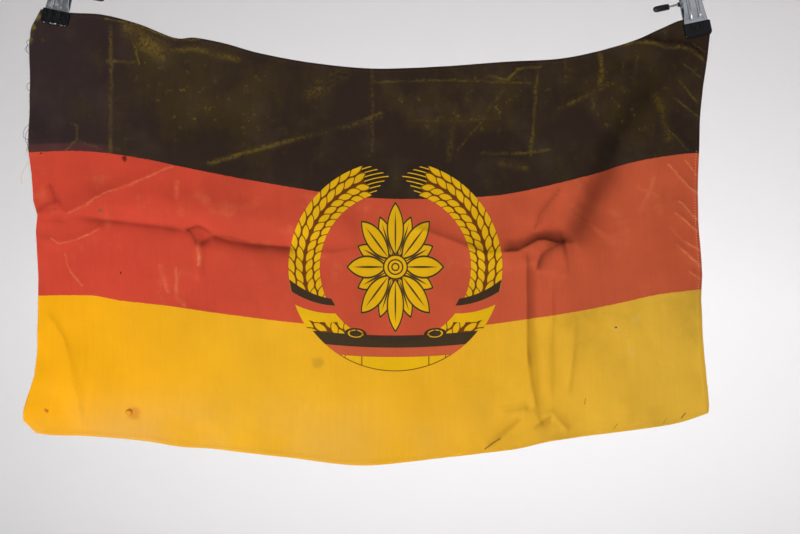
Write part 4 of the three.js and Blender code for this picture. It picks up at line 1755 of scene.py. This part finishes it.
@dataclass(frozen=True)
class SewingThread(Finish):
    """Cotton thread that takes the tone of the band it is sewn through, and shows pale on the red."""

    dark: Colour = linear(72, 62, 44)
    light: Colour = linear(246, 206, 164)
    yellow: Colour = linear(226, 176, 62)
    upper: float = -222.0
    lower: float = -430.0

    def lay(self, paint: Painter) -> None:
        """Spin it, in the tone of the band it is sewn through.

        Args:
            paint: the new material's painter.
        """
        at = paint.place()
        _, _, z = paint.parts(at)
        fluff = paint.noise(at, 1.2, 3.0)
        colour = paint.mix(z.rise(self.upper - 2.0, self.upper + 2.0), self.light, self.dark)
        colour = paint.mix(z.rise(self.lower + 2.0, self.lower - 2.0), colour, self.yellow)
        colour = paint.mix(0.3 - fluff * 0.3, colour, (0.0, 0.0, 0.0))
        paint.set(Base_Color=colour, Roughness=0.75 + fluff * 0.2)
        paint.bump(fluff, 0.05)


# -------- the clips


def turned(profile: Sequence[Place], sides: int = 36) -> list[np.ndarray]:
    """Turn a form about X.

    Args:
        profile: its outline, as places of (along, radius).
        sides: how many points a ring has.

    Returns:
        One ring for each place.
    """
    angles = np.arange(sides) / sides * 2.0 * math.pi
    return [
        np.stack([np.full(sides, along), radius * np.cos(angles), radius * np.sin(angles)], axis=-1)
        for along, radius in profile
    ]


def rounded(start: Place, corner: Place, end: Place, count: int = 6) -> list[Place]:
    """Round a corner with an elliptical quarter turn.

    Args:
        start: where the turn starts.
        corner: the corner that its ends point at.
        end: where it ends.
        count: how many places it has.

    Returns:
        The places from start to end.
    """
    places = []
    for step in np.linspace(0.0, math.pi / 2.0, count):
        u, v = 1.0 - math.cos(step), 1.0 - math.sin(step)
        places.append((
            start[0] + (corner[0] - start[0]) * (1.0 - v) + (end[0] - corner[0]) * u,
            start[1] + (corner[1] - start[1]) * (1.0 - v) + (end[1] - corner[1]) * u,
        ))
    return places


def set_back(inward: float, radius: float) -> float:
    """How far a rounded edge stands back, so far inward of where it starts."""
    short = max(radius - inward, 0.0)
    return radius - math.sqrt(max(radius ** 2 - short ** 2, 0.0))


@dataclass
class SpringClip:
    """One sprung clip on the end of its hanger bar.

    It is made about its bar: X along the bar, +Z up the handles, jaws below. `side` is -1 for the
    left clip and 1 for the right; the black-tipped end of the bar points to the middle. A groove has
    its middle, mouth, floor and depth; an ear its place, the back one's extra, and its thickness; the
    sleeve its length, radius and bore's depth; the collar its start, width and radius; and the spring
    its wire, radius, turns and pitch, and its legs' height and lean.
    """

    label: str
    side: int
    sleeve_start: float
    span: float = 906.0
    drop: float = 17.0
    tilt: float = 12.0
    cloth: float = 1.2
    gap: float = 0.35
    plate: float = 1.0
    jaw_half: float = 17.0
    back_extra: float = 2.0
    groove: tuple[float, float, float, float] = (6.5, 5.0, 2.0, 0.8)
    groove_run: tuple[float, float] = (-28.0, 23.0)
    ear: tuple[float, float, float] = (11.0, 1.7, 1.0)
    ear_reach: float = 4.0
    ear_half: float = 5.5
    bar: float = 1.75
    outboard: float = 40.0
    hole: float = 0.4
    grip_top: float = -30.0
    grip_height: float = 22.0
    grip_half: float = 20.0
    grip_wall: float = 1.3
    grip_corner: float = 6.4
    grip_shoulder: float = 1.8
    grip_edge: float = 2.1
    grip_lip: float = 4.4
    grip_least: float = 0.25
    bevel: float = 0.4
    collar_lip: float = 0.5
    sleeve: tuple[float, float, float] = (23.0, 4.6, 19.0)
    collar: tuple[float, float, float] = (17.0, 3.0, 3.5)
    spring: tuple[float, float, int, float, float, float] = (0.6, 3.3, 5, 1.9, 13.0, 3.4)

    @property
    def inboard(self) -> int:
        """The side of the clip that faces the middle of the flag."""
        return -self.side

    @property
    def leaf_in_grip(self) -> float:
        """How far a leaf lies from the cloth's plane where the dip covers it."""
        return self.cloth / 2.0 + self.gap * 2.0 + self.grip_wall + self.plate / 2.0

    def placed(self, points: np.ndarray) -> np.ndarray:
        """Hang the clip's own places where it goes on the whole.

        Args:
            points: the places, about the clip's bar.

        Returns:
            The same, on the whole.
        """
        turn = -self.side * math.radians(self.tilt)
        x, y, z = np.asarray(points, float).T
        return np.stack([
            x * math.cos(turn) + z * math.sin(turn) + self.side * self.span / 2.0,
            y,
            z * math.cos(turn) - x * math.sin(turn) - self.side * self.drop / 2.0,
        ], axis=-1)

    def jaw_centre(self) -> Place:
        """The middle of the jaws, in the hanging plane."""
        centre = self.placed(np.array([[0.0, 0.0, self.grip_top - self.grip_height / 2.0]]))[0]
        return float(centre[0]), float(centre[2])

    def dress(self, part: str, points: np.ndarray, faces: Sequence[Sequence[int]],
              finish: Material, sharp: float | None = 40.0) -> Object:
        """Hang one piece of the clip and put it in place of its plain node.

        Args:
            part: the piece's name within the clip.
            points: its vertices, about the clip's bar.
            faces: its faces.
            finish: its material.
            sharp: the angle past which an edge is shaded hard.

        Returns:
            The piece's object.
        """
        name = f"{self.label}_clip_{part}"
        made = make_mesh(f"{name}_fine", self.placed(points), faces, finish, sharp)
        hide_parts(name)
        return made

    def leaf(self, face: int, finish: Material) -> Object:
        """Press one leaf, with its two channels and its two drilled ears.

        Args:
            face: -1 for the front leaf, 1 for the back one.
            finish: its plate.

        Returns:
            The leaf's object.
        """
        tip = self.grip_top - self.grip_height + 2.0
        inner = self.leaf_in_grip
        stations = (
            (tip, inner, self.jaw_half), (-41.0, inner, self.jaw_half),
            (self.grip_top, inner, self.jaw_half), (-26.0, inner + 0.5, 16.6), (-18.0, 5.2, 15.4),
            (-10.0, 6.3, 14.4), (0.0, 6.5, 14.0), (8.0, 7.6, 13.6), (16.0, 10.4, 14.0),
            (24.0, 13.6, 15.0), (30.0, 15.6, 15.2), (32.0, 15.7, 13.5),
        )
        rows = curve_through(stations, np.linspace(0.0, 1.0, 96), by_length=True)[::-1]
        even = np.linspace(-1.0, 1.0, 73)
        shares = np.sin(even * math.pi / 2.0) * 0.35 + even * 0.65
        extra = (self.back_extra if face > 0 else 0.0) * rise(rows[:, 0], self.grip_top, -10.0)
        x = (rows[:, 2] + extra)[:, None] * shares[None, :]
        centre, mouth, floor, depth = self.groove
        pressed = 1.0 - rise(np.abs(np.abs(x) - centre), floor / 2.0, mouth / 2.0)
        run = rise(rows[:, 0], self.groove_run[0], self.groove_run[0] + 5.0)
        run = run * (1.0 - rise(rows[:, 0], self.groove_run[1] - 6.0, self.groove_run[1]))
        out = rows[:, 1][:, None] - depth * pressed * run[:, None]
        z = np.broadcast_to(rows[:, 0][:, None], x.shape)
        middle = np.stack([x, face * out, z], axis=-1)
        half = grid_normals(middle) * self.plate / 2.0
        rim = np.minimum(1.0 - np.abs(shares), 1.0)[None, :] * 14.0
        thin = 0.45 + 0.55 * rise(np.broadcast_to(rim, x.shape), -0.2, 0.7)
        half = half * thin[..., None]
        skin = Skin()
        skin.points = [(middle + half).reshape(-1, 3), (middle - half).reshape(-1, 3)]
        skin.count = 2 * x.size
        skin.faces = [tuple(quad) for quad in sheet_faces(95, 72).tolist()]
        ear_at = self.ear[0] + (self.ear[1] if face > 0 else 0.0)
        for ear_side in (-1.0, 1.0):
            skin.add(self.ear_rings(face, ear_side * ear_at), looped=True)
        part = "front_leaf" if face < 0 else "back_leaf"
        return self.dress(part, skin.array(), skin.faces, finish)

    def ear_rings(self, face: int, at: float) -> list[np.ndarray]:
        """Cut one ear: its rounded outline and its hole, on both of its faces.

        Args:
            face: -1 for the front leaf, 1 for the back one.
            at: where along the bar it stands.

        Returns:
            Four rings of points.
        """
        angles = np.arange(48) / 48 * 2.0 * math.pi
        cy, cz = np.cos(angles), np.sin(angles)
        towards = 6.5 - self.plate / 4.0
        far = 1.0 / np.sqrt((cy / self.ear_reach) ** 2 + (cz / self.ear_half) ** 2)
        with np.errstate(divide="ignore"):
            near = np.minimum(towards / np.abs(cy), self.ear_half / np.abs(cz))
        outer = np.where(cy * face > 0.0, near, far)
        hole = np.full_like(outer, self.bar + self.hole)
        half = self.ear[2] / 2.0
        rings = []
        for radius, side in ((outer, -half), (outer, half), (hole, half), (hole, -half)):
            rings.append(np.stack([np.full_like(cy, at + side), radius * cy, radius * cz], axis=-1))
        return rings

    def grip(self, face: int, finish: Material) -> Object:
        """Dip one jaw: a smooth rounded sleeve in which the leaf's channels still show.

        Args:
            face: -1 for the front jaw, 1 for the back one.
            finish: its vinyl.

        Returns:
            The grip's object.
        """
        half = self.grip_wall + self.gap + self.plate / 2.0
        low = self.grip_top - self.grip_height
        corner, shoulder, edge = self.grip_corner, self.grip_shoulder, self.grip_edge
        depths = np.concatenate([
            low + corner * (1.0 - np.cos(np.linspace(0.0, math.pi / 2.0, 12))),
            np.linspace(low + corner, self.grip_top - shoulder, 14)[1:-1],
            self.grip_top - shoulder + shoulder * np.sin(np.linspace(0.0, math.pi / 2.0, 8)),
        ])
        around = np.linspace(-1.0, 1.0, 49)
        turn = np.linspace(math.pi / 2.0, -math.pi / 2.0, 9)[1:-1]
        centre, mouth, floor, _ = self.groove
        rings = []
        for z in depths:
            from_low, from_top = z - low, self.grip_top - z
            wide = self.grip_half - set_back(from_low, corner) - set_back(from_top, shoulder)
            thick = half - set_back(min(from_low * edge / self.grip_lip, from_top), edge)
            thick = max(thick, self.grip_least)
            side = min(edge, thick)
            x = around * (wide - side)
            hollow = 1.0 - rise(np.abs(np.abs(x) - centre), floor / 2.0, mouth / 2.0 + 1.0)
            waist = 0.35 * bell((z - self.grip_top + 6.0) / 5.0)
            sunk = 0.75 * hollow * rise(from_low, 4.0, 14.0) + waist
            outer = thick - sunk * rise(from_top, 0.0, 2.0) * (thick / half)
            inner = np.full_like(x, thick)
            end_y = (thick - side) * np.ones_like(turn) + side * np.sin(turn)
            lower_y = -(thick - side) + side * np.sin(turn)
            ends = np.where(turn > 0.0, end_y, lower_y)
            end_x = wide - side + side * np.cos(turn)
            xs = np.concatenate([x, end_x, x[::-1], -end_x[::-1]])
            ys = np.concatenate([outer, ends, -inner, ends[::-1]])
            y = face * (self.leaf_in_grip + ys)
            rings.append(np.stack([xs, y, np.full_like(xs, z)], axis=-1))
        skin = Skin()
        skin.add(rings if face > 0 else [ring[::-1] for ring in rings])
        part = "front_grip" if face < 0 else "back_grip"
        return self.dress(part, skin.array(), skin.faces, finish, None)

    def coil(self, finish: Material) -> Object:
        """Wind the spring: close turns round the bar, and a leg up each handle.

        Args:
            finish: its wire.

        Returns:
            The spring's object.
        """
        wire, radius, turns, pitch, leg, lean = self.spring
        half = turns * pitch / 2.0
        up = np.linspace(1.0, 0.04, 14)
        first = np.stack([np.full_like(up, -half), -radius - up * lean, up * leg], axis=-1)
        share = np.linspace(0.0, 1.0, 190)
        angle = math.pi + share * (turns - 0.5) * 2.0 * math.pi
        along = -half + 2.0 * half * share
        coil = np.stack([along, radius * np.cos(angle), radius * np.sin(angle)], axis=-1)
        down = up[::-1]
        last = np.stack([np.full_like(down, half), radius + down * lean, down * leg], axis=-1)
        path = np.concatenate([first, coil, last])
        skin = Skin()
        skin.add(tube_rings(path, np.full(len(path), wire), 10))
        return self.dress("spring", skin.array(), skin.faces, finish, None)

    def hanger_end(self, wire: Material, plastic: Material) -> list[Object]:
        """Make the bar, the sleeve over its end and the collar that stops the clip.

        Args:
            wire: the bar's finish.
            plastic: the sleeve's and collar's finish.

        Returns:
            The three objects.
        """
        length, radius, deep = self.sleeve
        end = self.sleeve_start + deep - self.gap
        bevel = self.bevel
        bar = Skin()
        bar.add(turned(self.flipped([
            (-self.outboard, self.bar - bevel), (-self.outboard + bevel, self.bar),
            (0.0, self.bar), (end - bevel, self.bar), (end, self.bar - bevel),
        ]), 24))
        bore = self.bar + self.gap
        start, tip = self.sleeve_start, self.sleeve_start + length
        outline = [(tip, 0.3)]
        outline += rounded((tip, 1.2), (tip, radius), (tip - 6.0, radius), 10)
        outline += [(start + 2.2, radius), (start + 1.9, radius - 0.25), (start + 1.6, radius - 0.25)]
        outline += [(start + 1.3, radius - 0.1), (start + 0.5, radius - 0.35), (start, radius - 0.8)]
        outline += [(start, bore), (start + deep, bore), (start + deep, 0.3)]
        cap = Skin()
        cap.add(turned(self.flipped(outline)))
        near, width, outer = self.collar
        ring = Skin()
        lip = self.collar_lip
        ring.add(turned(self.flipped([
            (near, bore), (near, outer - lip), (near + lip, outer), (near + width - lip, outer),
            (near + width, outer - lip), (near + width, bore),
        ])), looped=True)
        return [
            self.dress("bar", bar.array(), bar.faces, wire),
            self.dress("bar_sleeve", cap.array(), cap.faces, plastic),
            self.dress("bar_collar", ring.array(), ring.faces, plastic),
        ]

    def flipped(self, profile: Sequence[Place]) -> list[Place]:
        """Turn a profile made for an inboard side at +X to this clip's own side."""
        return [(along * self.inboard, radius) for along, radius in profile]

    def build(self, finishes: dict[Slot, Material]) -> list[Object]:
        """Make the whole clip.

        Args:
            finishes: the material of each slot.

        Returns:
            Its objects.
        """
        steel, dip = finishes[Slot.CLIP_STEEL], finishes[Slot.GRIP]
        made = [self.leaf(-1, steel), self.leaf(1, steel), self.grip(-1, dip), self.grip(1, dip)]
        made.append(self.coil(finishes[Slot.SPRING_WIRE]))
        return made + self.hanger_end(finishes[Slot.BAR_WIRE], finishes[Slot.PLASTIC])


# -------- the studio


@dataclass(frozen=True)
class Lamp:
    """One soft light: where it stands and points, its size, power and colour, and its beam's width."""

    name: str
    at: tuple[float, float, float]
    target: tuple[float, float, float]
    size: Place
    watts: float
    colour: Colour = (1.0, 1.0, 1.0)
    spread: float = 180.0


@dataclass
class Studio:
    """A pale cove, soft lights and the camera, in metres."""

    floor: float = -1.75
    wall: float = 5.0
    wall_top: float = 3.6
    half_width: float = 9.0
    near: float = -8.0
    bend: float = 1.2
    camera_at: tuple[float, float, float] = (0.0338, -2.2, -0.390)
    lens: float = 68.8
    glow: float = 0.22
    lamps: tuple[Lamp, ...] = (
        Lamp("key", (-0.95, -2.3, -1.6), (0.0, 0.0, -0.33), (0.5, 0.5), 62.0, (1.0, 0.985, 0.96)),
        Lamp("fill", (0.8, -3.4, 0.4), (0.0, 0.0, -0.33), (4.0, 3.0), 12.0, (0.96, 0.98, 1.0)),
        Lamp("behind", (1.2, 2.6, 1.6), (0.0, 0.0, -0.3), (1.8, 1.2), 30.0),
        Lamp("wall_wash", (0.6, 0.9, -1.25), (0.6, 5.0, -1.3), (4.8, 0.7), 98.0, spread=130.0),
    )

    def cove(self) -> Object:
        """Make the floor and the wall behind, as one sweep.

        Returns:
            The cove's object.
        """
        profile = [(self.near, self.floor), (self.wall - self.bend, self.floor)]
        for step in np.linspace(0.0, math.pi / 2.0, 16)[1:]:
            profile.append((
                self.wall - self.bend + self.bend * math.sin(step),
                self.floor + self.bend * (1.0 - math.cos(step)),
            ))
        profile.append((self.wall, self.wall_top))
        points = [(x, y, z) for y, z in profile for x in (-self.half_width, self.half_width)]
        faces = [(i, i + 1, i + 3, i + 2) for i in range(0, len(points) - 2, 2)]
        mesh = bpy.data.meshes.new("cove")
        mesh.from_pydata(points, [], faces)
        mesh.materials.append(WallPaint().make("pale_cove"))
        mesh.shade_smooth()
        made = bpy.data.objects.new("cove", mesh)
        bpy.context.scene.collection.objects.link(made)
        return made

    def light(self, lamp: Lamp) -> None:
        """Hang one soft light.

        Args:
            lamp: what it is like.
        """
        data = bpy.data.lights.new(lamp.name, "AREA")
        data.shape = "RECTANGLE"
        data.size, data.size_y = lamp.size
        data.energy = lamp.watts
        data.color = lamp.colour
        data.spread = math.radians(lamp.spread)
        made = bpy.data.objects.new(lamp.name, data)
        made.location = lamp.at
        made.rotation_euler = (Vector(lamp.target) - made.location).to_track_quat("-Z", "Y").to_euler()
        bpy.context.scene.collection.objects.link(made)

    def sky(self) -> None:
        """Set the even light from all round, a little darker below."""
        paint = Painter("soft_room", world=True)
        facing = paint.add("ShaderNodeTexCoord", result="Generated")
        height = paint.parts(facing)[2]
        half = paint.add("ShaderNodeMapRange", {}, {"Value": height, "From Min": -1.0})
        stops = ((0.1, (0.5, 0.5, 0.5)), (0.8, (1.0, 1.0, 1.0)))
        paint.set(Color=paint.add("ShaderNodeValToRGB", {"stops": stops}, {0: half}), Strength=self.glow)
        bpy.context.scene.world = paint.made

    def camera(self) -> None:
        """Set the camera straight in front, at the height of the flag's middle."""
        data = bpy.data.cameras.new("camera")
        data.lens = self.lens
        data.sensor_width = 36.0
        made = bpy.data.objects.new("camera", data)
        made.location = self.camera_at
        made.rotation_euler = (math.pi / 2.0, 0.0, 0.0)
        bpy.context.scene.collection.objects.link(made)
        bpy.context.scene.camera = made

    def build(self) -> None:
        """Make it all."""
        self.camera()
        self.cove()
        self.sky()
        for lamp in self.lamps:
            self.light(lamp)
        bpy.context.scene.view_settings.view_transform = "Standard"


def main() -> None:
    """Build the flag and its clips, and set them in the studio."""
    logging.basicConfig(level=logging.INFO, format="%(name)s: %(message)s")
    finishes = {
        Slot.COTTON: PrintedCotton().make("printed_cotton_worn"),
        Slot.CLIP_STEEL: PlatedSteel().make("clip_steel_plated"),
        Slot.GRIP: DippedVinyl().make("grip_vinyl_dipped"),
        Slot.SPRING_WIRE: DrawnWire(linear(176, 178, 182)).make("spring_wire_drawn"),
        Slot.BAR_WIRE: DrawnWire(linear(196, 198, 200), smooth=0.16).make("bar_wire_plated"),
        Slot.PLASTIC: MouldedPlastic().make("bar_plastic_moulded"),
    }
    sewing = SewingThread().make("cotton_sewing_thread")
    clips = [SpringClip("left", -1, 40.0), SpringClip("right", 1, 33.0)]
    cloth = HungCloth(clips)
    flag = cloth.build(finishes[Slot.COTTON])
    trim = ClothTrim(cloth)
    trims = [trim.stitches(sewing), trim.fray(sewing)]
    made = [piece for clip in clips for piece in clip.build(finishes)]
    for piece in (flag, *trims, *made):
        report(piece)
    Studio().build()


if __name__ == "__main__":
    main()
